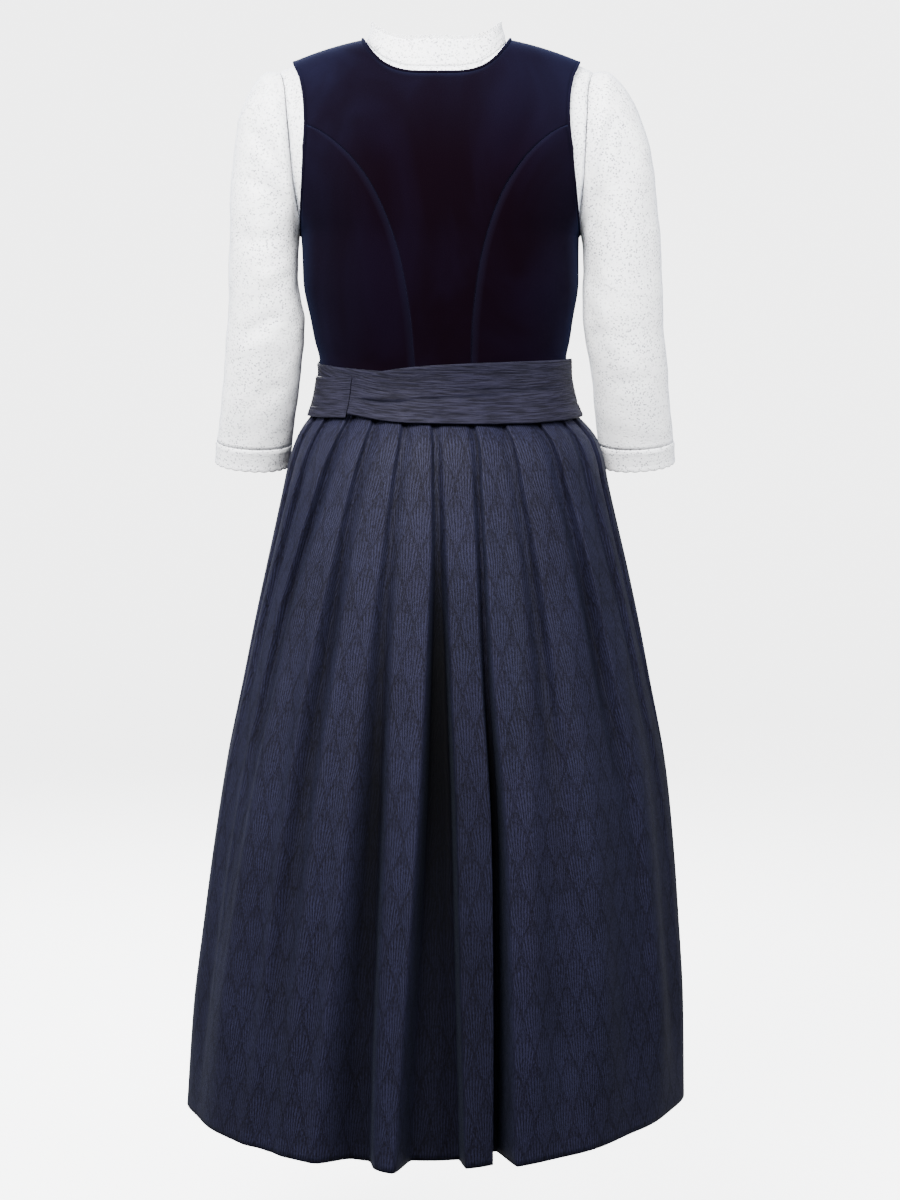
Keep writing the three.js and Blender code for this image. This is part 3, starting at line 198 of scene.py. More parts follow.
# Sleeve sections: under point x, z, upper point x, z, half depth, place along Y
SLEEVE = [
    (156.2, -213, 186, -34.4, 68, 0),
    (157.2, -221, 202, -47, 65, 1),
    (158, -230, 214.5, -67, 62, 2),
    (158.4, -241, 224, -92, 60, 3),
    (158.6, -254, 231, -124, 58, 5),
    (158, -270, 235.5, -165, 56, 6),
    (156.4, -288, 238.5, -210, 54, 7),
    (155, -308, 241, -260, 51, 6),
    (157, -332, 243.5, -308, 48, 3),
    (161.4, -362, 247.4, -354, 46, -3),
    (167.3, -402, 252, -398, 44, -14),
    (173.2, -447, 258.6, -443, 42, -30),
]
CUFF = [(173.2, -447.7, 259.1, -443.7, 42.4, -30.2), (177.2, -472, 261.6, -466.5, 42, -39)]
ARM_DRIFT = [
    (-30, 0), (-60, -2.6), (-90, -3.6), (-120, -5), (-260, -5), (-300, -4), (-345, -3.4),
    (-400, -2.3), (-475, -1.7),
]
DRIFT_FROM, DRIFT_OVER = -280, 60
TILT_MOST, TILT_FROM, TILT_OVER = 0.17, -150, 290
BLOUSE_NECK_HALF, BLOUSE_NECK_BACK, BLOUSE_NECK_FRONT, ARMSCYE_LOW = 77, -34, -62, -206


# ---------------------------------------------------------------- curves
def mix(a, b, t):
    return a + (b - a) * t


def smooth(t):
    t = np.clip(t, 0, 1)
    return t * t * (3 - 2 * t)


def hump(distance, width):
    return np.exp(-((distance / width) ** 2))


def unit(vectors):
    return vectors / np.linalg.norm(vectors, axis=1, keepdims=True)


def power(value, exponent):
    return np.sign(value) * np.abs(value) ** exponent


def through(xs, ys):
    """A smooth curve through knots that never overshoots them."""
    xs, ys = np.array(xs, float), np.array(ys, float)
    slope = np.diff(ys) / np.diff(xs)
    a, b = slope[:-1], slope[1:]
    same_way = a * b > 0
    inner = np.where(same_way, 2 * a * b / np.where(same_way, a + b, 1), 0)
    tangent = np.concatenate([slope[:1], inner, slope[-1:]])

    def at(x):
        x = np.clip(x, xs[0], xs[-1])
        k = np.clip(np.searchsorted(xs, x, side="right") - 1, 0, len(xs) - 2)
        width = xs[k + 1] - xs[k]
        t = (x - xs[k]) / width
        bend = (t**3 - 2 * t**2 + t) * tangent[k] + (t**3 - t**2) * tangent[k + 1]
        return mix(ys[k], ys[k + 1], t * t * (3 - 2 * t)) + width * bend

    return at


def curve(rows, column, over=0):
    """One column of a table as a curve over another."""
    ordered = sorted(rows, key=lambda row: row[over])
    return through([row[over] for row in ordered], [row[column] for row in ordered])


def segments(*parts):
    """Shares from 0 to 1: (end, count) for each stretch, evenly spaced within it."""
    shares, start = [0.0], 0.0
    for end, count in parts:
        shares += list(np.linspace(start, end, count + 1)[1:])
        start = end
    return np.array(shares)


# ---------------------------------------------------------------- the torso's form
torso_width, torso_back, torso_front, torso_lean = (curve(TORSO, k) for k in range(1, 5))


def bust(x, z):
    across = ((np.abs(x) - BUST_X) / BUST_SPREAD_X) ** 2
    return BUST_HEIGHT * np.exp(-across - ((z - BUST_Z) / BUST_SPREAD_Z) ** 2)


def form(side, x, z, inset):
    """Points of the torso's surface on its back or front, x from its leaning middle."""
    width = torso_width(z) - inset
    flat = (1 - np.clip(np.abs(x) / width, 0, 1) ** BODY_POWER) ** (1 / BODY_POWER)
    rise = np.clip((z - UNDERARM) / (ridge(x, inset) - UNDERARM), 0, 1)
    arch = (1 - rise**ARCH_POWER) ** (1 / ARCH_POWER)
    depth = torso_back(z) - inset if side == "back" else torso_front(z) - inset + bust(x, z)
    y = depth * flat * arch
    x, z, y = np.broadcast_arrays(x + torso_lean(z), z, y if side == "back" else -y)
    return np.stack([x, y, z], axis=-1).astype(float)


def section_angle(x, z):
    return np.arccos(np.clip(x / torso_width(z), 0, 1) ** (BODY_POWER / 2))


def arch_angle(x, z, inset):
    rise = np.clip((z - UNDERARM) / (ridge(x, inset) - UNDERARM), 0, 1)
    return np.arcsin(rise ** (ARCH_POWER / 2))


# Where the columns inside the neck's width stand, at even shares, at the hem and at the neckline
neck_low = through(np.linspace(0, 1, 6), (0, 0.38, 0.67, 0.85, 0.94, 1))
neck_top = through(np.linspace(0, 1, 6), (0, 0.4, 0.7, 0.88, 0.97, 1))
EVEN_PASSES, EVEN_FADE_ROWS = 8, 10  # how often columns are evened, and the rows at the top that fade


def centre_panel(side, inset, levels, edge, neckline, neck_half, neck_count, shoulder_count):
    """A panel from its hem up to the neckline and the shoulder seam."""
    tip = edge(levels[-1])
    neck = neck_half / tip
    inside = np.linspace(0, 1, neck_count + 1)
    outside = mix(neck, 1, np.linspace(0, 1, shoulder_count + 1)[1:])
    low = np.concatenate([neck_low(inside) * neck, outside])
    top = np.concatenate([neck_top(inside) * neck, outside])
    if side == "back":
        low, top = (np.concatenate([-half[:0:-1], half]) for half in (low, top))
    x_top = np.abs(top) * tip
    meets_neck = arch_angle(x_top, neckline(x_top), inset)
    top_angle = np.where(x_top >= neck_half - 0.02, math.pi / 2, meets_neck)
    middle_angle = arch_angle(0.0, neckline(0.0), inset)
    level = levels[:, None]
    width = edge(level)
    angle = arch_angle(width, level, inset)
    angle[-1] = math.pi / 2
    up = angle / (math.pi / 2)
    bend = smooth(up)
    beyond = np.clip((x_top - neck_half) / (tip - neck_half), 0, 1)
    high = top * tip + np.sign(top) * (width - tip) * beyond
    x = mix(low * width, high, bend)
    if side == "front":
        x = np.maximum(x, 0)
    even = mix(middle_angle, math.pi / 2, np.abs(low))
    turned = np.sin(up * mix(even, top_angle, bend)) ** (2 / ARCH_POWER)
    z = np.where(level <= UNDERARM, level, mix(UNDERARM, ridge(x, inset), turned))
    soft = smooth((len(levels) - 1 - np.arange(len(levels))) / EVEN_FADE_ROWS)[:, None]
    for _ in range(EVEN_PASSES):
        for part in (x, z):
            even = (part[:, :-2] + 2 * part[:, 1:-1] + part[:, 2:]) / 4
            part[:, 1:-1] += (even - part[:, 1:-1]) * soft
    return form(side, x, z, inset)


def other_side(points):
    """The mirror image on the wearer's right, about the torso's leaning middle."""
    turned = points.copy()
    turned[..., 0] = 2 * torso_lean(points[..., 2]) - points[..., 0]
    return turned


# ---------------------------------------------------------------- meshes
WALLS = {"velvet": 1.6, "jacquard": 1.3, "crinkle": 1.0, "lace": 0.8}  # how thick the shells are
CUFF_WALL = 0.9
BINDING_RADIUS, CORD_SIDES = 1.7, 10


def normals_of(grid, ring=False):
    """Unit normals of a grid of points."""
    if ring:
        across = np.roll(grid, -1, axis=1) - np.roll(grid, 1, axis=1)
    else:
        across = np.gradient(grid, axis=1)
    along = np.gradient(grid, axis=0)
    normal = np.cross(across, along)
    normal /= np.maximum(np.linalg.norm(normal, axis=-1, keepdims=True), 1e-9)
    return normal


def facing(grid, core, ring=False):
    """The grid's normals, all turned to point away from core."""
    normal = normals_of(grid, ring)
    return normal * np.sign((normal * (grid - core)).sum())


def lengths(grid, axis):
    """How far each point is along its row or column, measured on the cloth."""
    step = np.linalg.norm(np.diff(grid, axis=axis), axis=-1)
    start = np.zeros_like(np.take(step, [0], axis=axis))
    return np.concatenate([start, np.cumsum(step, axis=axis)], axis=axis)


def new_piece(name, points, faces, material):
    """A smooth object from points in millimetres."""
    mesh = bpy.data.meshes.new(name)
    mesh.from_pydata((np.asarray(points).reshape(-1, 3) / 1000).tolist(), [], faces)
    mesh.polygons.foreach_set("use_smooth", [True] * len(mesh.polygons))
    mesh.materials.append(material)
    piece = bpy.data.objects.new(name, mesh)
    bpy.context.scene.collection.objects.link(piece)
    return piece


def grid_piece(name, grid, u, v, material, ring):
    """An object from a grid of points. Its cloth coordinates u and v, in mm, are each a pair: what
    they are to the right and to the left of each column."""
    rows, columns = grid.shape[:2]
    spans = np.arange(columns if ring else columns - 1)
    i, j = np.meshgrid(np.arange(rows - 1), spans, indexing="ij")
    k = (j + 1) % columns
    low, high = i * columns, (i + 1) * columns
    faces = np.stack([low + j, low + k, high + k, high + j], -1).reshape(-1, 4).tolist()
    piece = new_piece(name, grid, faces, material)
    corners = [np.stack([a[i, j], b[i, k], b[i + 1, k], a[i + 1, j]], -1) for a, b in (u, v)]
    layer = piece.data.uv_layers.new(name="cloth_mm")
    layer.data.foreach_set("uv", np.stack(corners, -1).astype(np.float32).ravel())
    return piece


def slot_of(material):
    """A material's name without the number that Blender may add to it."""
    return material.name.split(".")[0]


def dress(piece, *solids):
    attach(piece, "root")
    slot_of(piece.data.materials[0])
    if solids:
        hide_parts(*solids)


def axis_core(grid):
    """The torso's own axis at each point's height, for pieces that wrap the body."""
    core = grid.copy()
    core[..., :2] = 0
    return core


def cloth(name, grid, material, core=None, ring=False, u=None, v=None, mark=None, wall=None):
    """A thin shell from a grid of its outer points, in place of the solid of that name. It wraps
    core, or else the torso's axis. u is a pair where the pattern jumps inside a fold. The attribute
    it adds says, from 0 to 1, how much each point lies in a seam or an eyelet, and how much painted
    shade it takes in a crease, down a fold or under the arm."""
    core = axis_core(grid) if core is None else core
    if (normals_of(grid, ring) * (grid - core)).sum() < 0:
        grid = grid[:, ::-1]
        u = None if u is None else tuple(side[:, ::-1] for side in u[::-1])
        v = None if v is None else v[:, ::-1]
        mark = None if mark is None else mark[:, ::-1]
    if u is None:
        u = (lengths(grid, 1),) * 2
        if ring:
            closing = np.linalg.norm(grid[:, :1] - grid[:, -1:], axis=-1)
            u = (u[0], np.concatenate([u[0][:, -1:] + closing, u[0][:, 1:]], axis=1))
    v = lengths(grid, 0) if v is None else v
    piece = grid_piece(f"{name}_cloth", grid, u, (v, v), material, ring)
    if mark is not None:
        inside = piece.data.attributes.new("mark", "FLOAT", "POINT")
        inside.data.foreach_set("value", mark.astype(np.float32).ravel())
    shell = piece.modifiers.new("wall", "SOLIDIFY")
    shell.thickness = (wall or WALLS[slot_of(material)]) / 1000
    shell.offset = -1
    dress(piece, name)


def tube(name, grid, material):
    """A round piece from rings of points, in place of the solid of that name."""
    rows, columns = grid.shape[:2]
    along = lengths(grid, 0)
    around = np.tile(np.arange(columns, dtype=float), (rows, 1))
    closed = np.where(around == 0, columns, around)
    dress(grid_piece(f"{name}_cloth", grid, (along, along), (around, closed), material, True), name)


def cord(name, points, material, closed):
    """A round cord of cloth along points."""
    points = np.array(points)
    if closed:
        way = np.roll(points, -1, 0) - np.roll(points, 1, 0)
    else:
        way = np.gradient(points, axis=0)
    way = unit(way)
    side = unit(np.cross(way, points * [1, 1, 0]))
    up = np.cross(side, way)
    turn = np.linspace(0, 2 * math.pi, CORD_SIDES, endpoint=False)
    ring = side[:, None] * np.cos(turn)[None, :, None] + up[:, None] * np.sin(turn)[None, :, None]
    grid = points[:, None] + ring * BINDING_RADIUS
    tube(name, np.concatenate([grid, grid[:1]]) if closed else grid, material)


def resampled(points, step, closed=False):
    """Points evenly spaced along a line through the given ones."""
    points = np.array(points)
    if closed:
        points = np.concatenate([points, points[:1]])
    along = np.concatenate([[0], np.cumsum(np.linalg.norm(np.diff(points, axis=0), axis=1))])
    count = int(along[-1] / step)
    at = np.linspace(0, along[-1], count + 1)[: count if closed else count + 1]
    return np.stack([np.interp(at, along, points[:, c]) for c in range(3)], -1)


def neck_edge(grid, half):
    """The stretch of a panel's upper edge that lies on its neckline."""
    top = grid[-1]
    return top[np.abs(top[:, 0] - torso_lean(top[:, 2])) <= half + 0.01]


# ---------------------------------------------------------------- relief
def bump_sum(seed, x, y, waves):
    """A smooth uneven field between about -1 and 1, from a few waves in set directions."""
    chance = np.random.default_rng(seed)
    total = np.zeros(np.broadcast(x, y).shape)
    for length, turn, share in waves:
        angle = turn + chance.uniform(-0.25, 0.25)
        stretch = length * chance.uniform(0.85, 1.2)
        phase = (x * math.cos(angle) + y * math.sin(angle)) * 2 * math.pi / stretch
        total = total + share * np.sin(phase + chance.uniform(0, 6.28))
    return total


def crease(x, y, folds):
    """Soft troughs (negative) and ridges (positive) along straight or bent lines: each fold is
    x1, y1, x2, y2, bow, width, height. bow is how far its middle stands off to the side."""
    total = np.zeros(np.broadcast(x, y).shape)
    for x1, y1, x2, y2, bow, width, height in folds:
        dx, dy = x2 - x1, y2 - y1
        length = math.hypot(dx, dy)
        along = ((x - x1) * dx + (y - y1) * dy) / length**2
        off = ((y - y1) * dx - (x - x1) * dy) / length - bow * 4 * along * (1 - along)
        ends = smooth(along / 0.3) * smooth((1 - along) / 0.3)
        total = total + height * ends * hump(off, width)
    return total


def groove(distance, width, depth):
    return -depth * hump(distance, width)


# ---------------------------------------------------------------- bodice
BODICE_ROWS, SHOULDER_ROWS, SIDE_COLUMNS, HALVINGS = 75, 34, 25, 40
NECK_COLUMNS, BODICE_SHOULDER_COLUMNS, BLOUSE_SHOULDER_COLUMNS = 26, 16, 22
BODICE_NECK = {"back": (BACK_NECK, 3.8), "front": (FRONT_NECK, 2.6)}  # lowest point, roundness
BLOUSE_NECK = {"back": (BLOUSE_NECK_BACK, 3.4), "front": (BLOUSE_NECK_FRONT, 2.4)}
FAR = 1000.0  # from a seam, where there is none
SEAM_WIDTH, SEAM_DEPTH, SEAM_LINE = 1.6, 0.7, 0.9
CREASES_BELOW, CREASES_OVER = -15, 40  # no creases above this height, all of them this far below
VELVET_NAP = [(95, 1.2, 0.6), (60, 0.3, 0.3), (140, 2.2, 0.5)]  # length, direction, share
# Creases in the velvet: x1, z1, x2, z2, bow, width, height
BODICE_CREASES = {
    "back": [
        (-118, -40, -60, -150, -10, 16, -1.5),
        (112, -30, 52, -165, 12, 18, -1.7),
        (60, -20, 84, -120, -6, 14, 1.1),
        (-20, -70, 30, -190, 8, 20, -0.9),
        (-105, -372, -18, -350, 6, 7, -0.9),
        (104, -352, 20, -372, -5, 8, -0.8),
        (128, -250, 118, -352, 4, 8, -1),
        (-128, -262, -116, -356, -5, 9, -0.9),
    ],
    "front": [
        (30, -180, 84, -150, 4, 14, -1),
        (26, -320, 62, -352, 3, 8, -0.9),
        (40, -372, 8, -348, -4, 8, -0.8),
        (70, -120, 110, -60, 5, 16, -1.2),
    ],
}


def seam_curves(side):
    princess = BACK_PRINCESS if side == "back" else FRONT_PRINCESS
    rows = BACK_ARMHOLE if side == "back" else FRONT_ARMHOLE
    return curve(princess, 1), curve(rows, 1), princess[-1][0]


def bodice_centre(side):
    seam, armhole, junction = seam_curves(side)
    low = np.linspace(WAIST, junction, BODICE_ROWS)
    high = mix(junction, SHOULDER_DROP, segments((1, SHOULDER_ROWS)))[1:]
    levels = np.concatenate([low, high])
    below = levels < junction - 1e-6

    def edge(z):
        return np.where(z < junction - 1e-6, seam(z), armhole(z))

    lowest, bend = BODICE_NECK[side]

    def neckline(x):
        return mix(lowest, 0, (np.minimum(np.abs(x), NECK_HALF) / NECK_HALF) ** bend)

    counts = NECK_COLUMNS, BODICE_SHOULDER_COLUMNS
    return centre_panel(side, 0, levels, edge, neckline, NECK_HALF, *counts), below


def bodice_side(side):
    seam, armhole, junction = seam_curves(side)
    columns = np.linspace(0, 1, SIDE_COLUMNS)
    tops = []
    for share in columns:
        low, high = UNDERARM, junction
        for _ in range(HALVINGS):
            z = (low + high) / 2
            gap = section_angle(seam(z), z) * (1 - share) - section_angle(armhole(z), z)
            # the column leaves the armhole behind where its angle falls below the armhole's own
            low, high = (z, high) if gap > 0 else (low, z)
        tops.append(junction if share == 0 else UNDERARM if share == 1 else (low + high) / 2)
    rise = np.linspace(0, 1, BODICE_ROWS)[:, None]
    z = mix(WAIST, np.array(tops)[None, :], rise)
    angle = section_angle(seam(z), z) * (1 - columns)[None, :]
    x = torso_width(z) * np.cos(angle) ** (2 / BODY_POWER)
    return form(side, x, z, 0)


def from_seam(grid, rows, ends=(True, True)):
    """How far each point is along its row from the nearest sewn end, or far where there is none."""
    along = lengths(grid, 1)
    first = along if ends[0] else FAR + 0 * along
    last = along[:, -1:] - along if ends[1] else FAR + 0 * along
    return np.where(rows[:, None], np.minimum(first, last), FAR)


def raised(grid, height, core, ring=False):
    return grid + facing(grid, core, ring) * height[..., None]


def bodice(velvet):
    """Makes the bodice's panels and gives back their grids."""
    grids = {}
    for side in ("back", "front"):
        centre, below = bodice_centre(side)
        edge_panel = bodice_side(side)
        for name, grid, rows, ends in (
            (f"bodice_{side}", centre, below, (side == "back", True)),
            (f"bodice_side_{side}", edge_panel, np.full(len(edge_panel), True), (True, True)),
        ):
            x, z = grid[..., 0], grid[..., 2]
            seam = from_seam(grid, rows, ends)
            rest = 0.3 * bump_sum(4, x, z, VELVET_NAP) + crease(x, z, BODICE_CREASES[side])
            height = groove(seam, SEAM_WIDTH, SEAM_DEPTH)
            height = height + rest * smooth((CREASES_BELOW - z) / CREASES_OVER)
            shaped = raised(grid, height, axis_core(grid))
            line = hump(seam, SEAM_LINE)
            if name == "bodice_back":
                grids[name] = (shaped, line)
            else:
                grids[f"{name}_left"] = (shaped, line)
                grids[f"{name}_right"] = (other_side(shaped), line)
    for name, (grid, line) in grids.items():
        cloth(name, grid, velvet, mark=line)
    return {name: grid for name, (grid, line) in grids.items()}


BINDING_STEP = 4
NECK_BINDING_INWARD, NECK_BINDING_UP, ARMHOLE_BINDING_INWARD = 0.6, 0.1, 1.2


def bodice_bindings(velvet, pieces):
    left, right = (neck_edge(pieces[f"bodice_front_{side}"], NECK_HALF) for side in ("left", "right"))
    back = neck_edge(pieces["bodice_back"], NECK_HALF)
    neck = resampled(np.concatenate([left, back[::-1], right[::-1]]), BINDING_STEP)
    rise = unit(np.gradient(neck, axis=0))
    neck = neck - out_of(neck) * NECK_BINDING_INWARD + upward(neck, rise) * NECK_BINDING_UP
    cord("bodice_neck_binding", neck, velvet, False)
    for side, column in (("left", -1), ("right", 0)):
        centre = pieces["bodice_back"][:, column]
        centre = centre[centre[:, 2] >= BACK_PRINCESS[-1][0] - 0.5]
        front = pieces[f"bodice_front_{side}"][:, -1]
        front = front[front[:, 2] >= FRONT_PRINCESS[-1][0] - 0.5]
        under_back = pieces[f"bodice_side_back_{side}"][-1]
        under_front = pieces[f"bodice_side_front_{side}"][-1]
        loop = np.concatenate([centre[::-1], under_back, under_front[::-1], front])
        ring = resampled(loop, BINDING_STEP, True)
        away = ring - ring.mean(axis=0)
        away[:, 1] = 0
        inward = -away / np.maximum(np.linalg.norm(away, axis=1, keepdims=True), 1)
        cord(f"bodice_armhole_binding_{side}", ring + inward * ARMHOLE_BINDING_INWARD, velvet, True)


def out_of(points):
    return unit(points * [1, 1, 0])


def upward(points, way):
    """Across a line on the body, on its upper side."""
    side = unit(np.cross(way, out_of(points)))
    return side * np.sign(side[:, 2:])


# ---------------------------------------------------------------- blouse
SLEEVE_DROP, NECK_RIDGE = ridge(SLEEVE_TIP, BLOUSE_INSET), ridge(BLOUSE_NECK_HALF, BLOUSE_INSET)
ARMSCYE = [  # z, half width
    (-206, 152.4), (-196, 153.6), (-175, 156), (-150, 158), (-117, 160.5), (-90, 162.5), (-60, 165),
    (-45, 168), (SLEEVE_DROP, SLEEVE_TIP),
]
armscye = curve(ARMSCYE, 1)
arm_drift = curve(ARM_DRIFT, 1)


def armscye_level(share):
    return mix(ARMSCYE_LOW, SLEEVE_DROP, (1 + np.cos(math.pi * share)) / 2)


def blouse_body(side):
    upper = armscye_level(np.linspace(1, 0, 37))
    levels = np.concatenate([np.linspace(BLOUSE_HEM, ARMSCYE_LOW - 4, 12), upper])
    lowest, bend = BLOUSE_NECK[side]

    def edge(z):
        return np.where(z < ARMSCYE_LOW - 1, torso_width(z) - BLOUSE_INSET, armscye(z))

    def neckline(x):
        share = np.minimum(1, np.abs(x) / BLOUSE_NECK_HALF)
        return mix(lowest, NECK_RIDGE, share**bend)

    counts = NECK_COLUMNS, BLOUSE_SHOULDER_COLUMNS
    return centre_panel(side, BLOUSE_INSET, levels, edge, neckline, BLOUSE_NECK_HALF, *counts)


COLLAR_ROWS, COLLAR_STEP = 13, 3
COLLAR_SIDE, COLLAR_BACK, COLLAR_FRONT = 19, 30, 26  # how tall it stands
COLLAR_LEAN = (0.93, 0.9)  # how much narrower and shallower it is at its top


def collar_grid(front, back):
    grids = (front, back, other_side(front))
    left, middle, right = (neck_edge(grid, BLOUSE_NECK_HALF) for grid in grids)
    base = resampled(np.concatenate([left, middle[::-1][1:-1], right[::-1]]), COLLAR_STEP)
    facing_share = base[:, 1] / np.hypot(base[:, 0], base[:, 1])
    tall = np.where(facing_share > 0, COLLAR_BACK, COLLAR_FRONT)
    height = mix(COLLAR_SIDE, tall, facing_share**2)
    up = np.linspace(0, 1, COLLAR_ROWS)[:, None]
    x = base[None, :, 0] * mix(1, COLLAR_LEAN[0], up)
    y = base[None, :, 1] * mix(1, COLLAR_LEAN[1], up)
    return np.stack([x, y, base[None, :, 2] + COLLAR_GAP + height[None] * up], -1)


def sleeve_ring(row, hand, count):
    ux, uz, ox, oz, depth, y = row
    turn = np.linspace(0, 2 * math.pi, count, endpoint=False)
    middle_z = (uz + oz) / 2
    across = np.sin(turn) * depth
    x = (ux + ox) / 2 + (ox - ux) / 2 * np.cos(turn)
    z = middle_z + (oz - uz) / 2 * np.cos(turn)
    z = z - across * TILT_MOST * smooth((TILT_FROM - middle_z) / TILT_OVER)
    whole = np.clip((DRIFT_FROM - uz) / DRIFT_OVER, 0, 1)
    x = x + torso_lean(z) + hand * arm_drift(z) * mix((1 + np.cos(turn)) / 2, 1, whole)
    return np.stack([x, y + across, z], -1)


def armscye_ring(count):
    share = np.linspace(0, 1, count // 2 + 1)
    z = armscye_level(share)
    back, front = (form(side, armscye(z), z, BLOUSE_INSET) for side in ("back", "front"))
    ring = np.concatenate([back, front[1:-1][::-1]])
    ring[:, 0] += ARMSCYE_GAP
    return ring


def finer_rows(grid, at):
    """The rows of a grid at fractional row numbers, on smooth curves down each column."""
    flat = grid.reshape(len(grid), -1)
    rows = np.arange(len(grid))
    columns = [through(rows, flat[:, c])(at) for c in range(flat.shape[1])]
    return np.stack(columns, -1).reshape(len(at), *grid.shape[1:])


SLEEVE_COLUMNS, SLEEVE_ROWS = 96, 131


def sleeve_grid(hand):
    rings = [armscye_ring(SLEEVE_COLUMNS)] + [sleeve_ring(row, hand, SLEEVE_COLUMNS) for row in SLEEVE]
    return finer_rows(np.array(rings), np.linspace(0, len(SLEEVE), SLEEVE_ROWS))


def arm_core(grid):
    """The middle of a sleeve at each of its rings."""
    return np.broadcast_to(grid.mean(axis=1, keepdims=True), grid.shape)


# Creases in a sleeve's back, x from the torso's leaning middle: x1, z1, x2, z2, bow, width, height
SLEEVE_CREASES = {
    1: [
        (166, -168, 214, -92, 8, 7, -2.2),
        (163, -192, 226, -150, 9, 8, -2.6),
        (176, -150, 220, -118, 6, 8, 1.5),
        (161, -214, 232, -212, -7, 9, -2.2),
        (162, -238, 206, -262, -6, 9, 1.6),
        (163, -302, 226, -338, 9, 8, -2.3),
        (170, -330, 236, -352, 6, 9, 1.4),
        (168, -380, 214, -398, 5, 8, -1.2),
        (236, -250, 238, -330, -4, 8, -1.2),
        (200, -60, 224, -100, -5, 10, 1.2),
    ],
    -1: [
        (171, -190, 196, -80, 6, 7, -2.2),
        (164, -214, 182, -160, 5, 6, -2.8),
        (186, -58, 226, -104, 8, 8, -2),
        (196, -96, 232, -140, 7, 9, 1.5),
        (166, -236, 190, -300, -7, 9, -2),
        (172, -262, 196, -350, -6, 9, 1.4),
        (160, -318, 214, -344, 6, 8, -1.6),
        (226, -180, 236, -270, -4, 9, -1.2),
        (180, -384, 240, -372, 5, 9, -1.2),
    ],
}
# The same in its front, which is hidden in the photographed view
SLEEVE_FRONT_CREASES = [
    (164, -190, 222, -128, 8, 8, -2.2),
    (162, -212, 228, -190, 6, 9, -2.4),
    (172, -160, 216, -100, -6, 8, 1.4),
    (164, -296, 232, -322, 7, 8, -2),
    (168, -330, 236, -340, -5, 9, 1.5),
    (172, -372, 222, -394, 5, 8, -1.4),
]


CUFF_ROWS, CUFF_SCALLOP = 21, 1.3
PICOT_STEP, PICOT_RADIUS, PICOT_THREAD, PICOT_LIFT = 5.2, 2.0, 0.55, 1.4
PICOT_SPOKES, THREAD_SIDES = 12, 5
LACE_WAVES = [(44, 0.4, 0.5), (70, 1.6, 0.5), (28, 1.1, 0.25)]
PIT_SHADE = 0.7  # how much greyer the lace is under the arm, as painted shade in its eyelets


def blouse(lace):
    front, back = blouse_body("front"), blouse_body("back")
    for name, grid in (
        ("blouse_back", back),
        ("blouse_front_left", front),
        ("blouse_front_right", other_side(front)),
    ):
        wave = 0.7 * bump_sum(11, grid[..., 0], grid[..., 2], LACE_WAVES)
        cloth(name, raised(grid, wave * smooth((-20 - grid[..., 2]) / 40), axis_core(grid)), lace)
    collar = collar_grid(front, back)
    rise = np.linspace(0, 1, len(collar))[:, None]
    around = lengths(collar, 1)
    beads = 1 + 0.6 * np.cos(around * 2 * math.pi / PICOT_STEP)
    band = 0.5 * hump(rise - 0.42, 0.05) * beads
    wave = 0.4 * bump_sum(3, around, collar[..., 2], LACE_WAVES)
    cloth("blouse_collar", raised(collar, band + wave, axis_core(collar)), lace)
    picots(collar[-1], lace)
    for side, hand in (("left", 1), ("right", -1)):
        grid = sleeve_grid(hand)
        x = grid[..., 0] - torso_lean(grid[..., 2])
        z = grid[..., 2]
        turn = np.linspace(0, 2 * math.pi, SLEEVE_COLUMNS, endpoint=False)[None, :]
        behind = smooth(0.5 + 1.6 * np.sin(turn))
        height = behind * crease(x, z, SLEEVE_CREASES[hand])
        height += (1 - behind) * crease(x, z, SLEEVE_FRONT_CREASES)
        height += 0.7 * bump_sum(20 + hand, x + 40 * np.sin(turn), z, LACE_WAVES)
        at = np.arange(len(grid))[:, None]
        height = height * smooth(at / 6) * smooth((len(grid) - 1 - at) / 5)
        down = lengths(grid, 0)
        height += groove(down - 1.2, 2.2, 1)
        stitched = 0.5 + 0.5 * np.sin(np.arange(SLEEVE_COLUMNS) * 2.4)[None, :]
        seam = hump(down - 0.6, 1.1) * stitched
        # painted shade under the arm, where the sleeve meets the bodice
        painted_pit_shade = PIT_SHADE * np.exp(-(((x - 160) / 14) ** 2) - ((z + 235) / 34) ** 2)
        shaped = raised(grid, height, arm_core(grid), True)
        turned = shaped if hand > 0 else other_side(shaped)
        cloth(f"blouse_sleeve_{side}", turned, lace, arm_core(turned), True,
              mark=np.maximum(seam, painted_pit_shade))
        rings = np.array([sleeve_ring(row, hand, SLEEVE_COLUMNS) for row in CUFF])
        cuff = finer_rows(rings, np.linspace(0, 1, CUFF_ROWS))
        cuff[0] = grid[-1]
        up = np.linspace(0, 1, CUFF_ROWS)[:, None]
        around = np.arange(SLEEVE_COLUMNS)[None, :]
        cuff[..., 2] -= CUFF_SCALLOP * np.abs(np.sin(around * math.pi / 4)) * smooth((up - 0.6) / 0.4)
        ribs = 0.35 * hump(up - 0.16, 0.09) + 0.35 * hump(up - 0.9, 0.08)
        ribs = ribs * (1 + 0.4 * np.cos(around * math.pi / 2))
        ribs = ribs + 0.4 * bump_sum(8, around * 3, up * 20, LACE_WAVES)
        cuff = raised(cuff, ribs * smooth(up / 0.12), arm_core(cuff), True)
        cuff = cuff if hand > 0 else other_side(cuff)
        eyelets = np.clip(np.sin(around * 1.9 + up * 7) * np.sin(up * 19), 0, 1)
        holes = 0.12 + 0.6 * eyelets * smooth(up / 0.2)
        cloth(f"blouse_cuff_{side}", cuff, lace, arm_core(cuff), True, mark=holes, wall=CUFF_WALL)


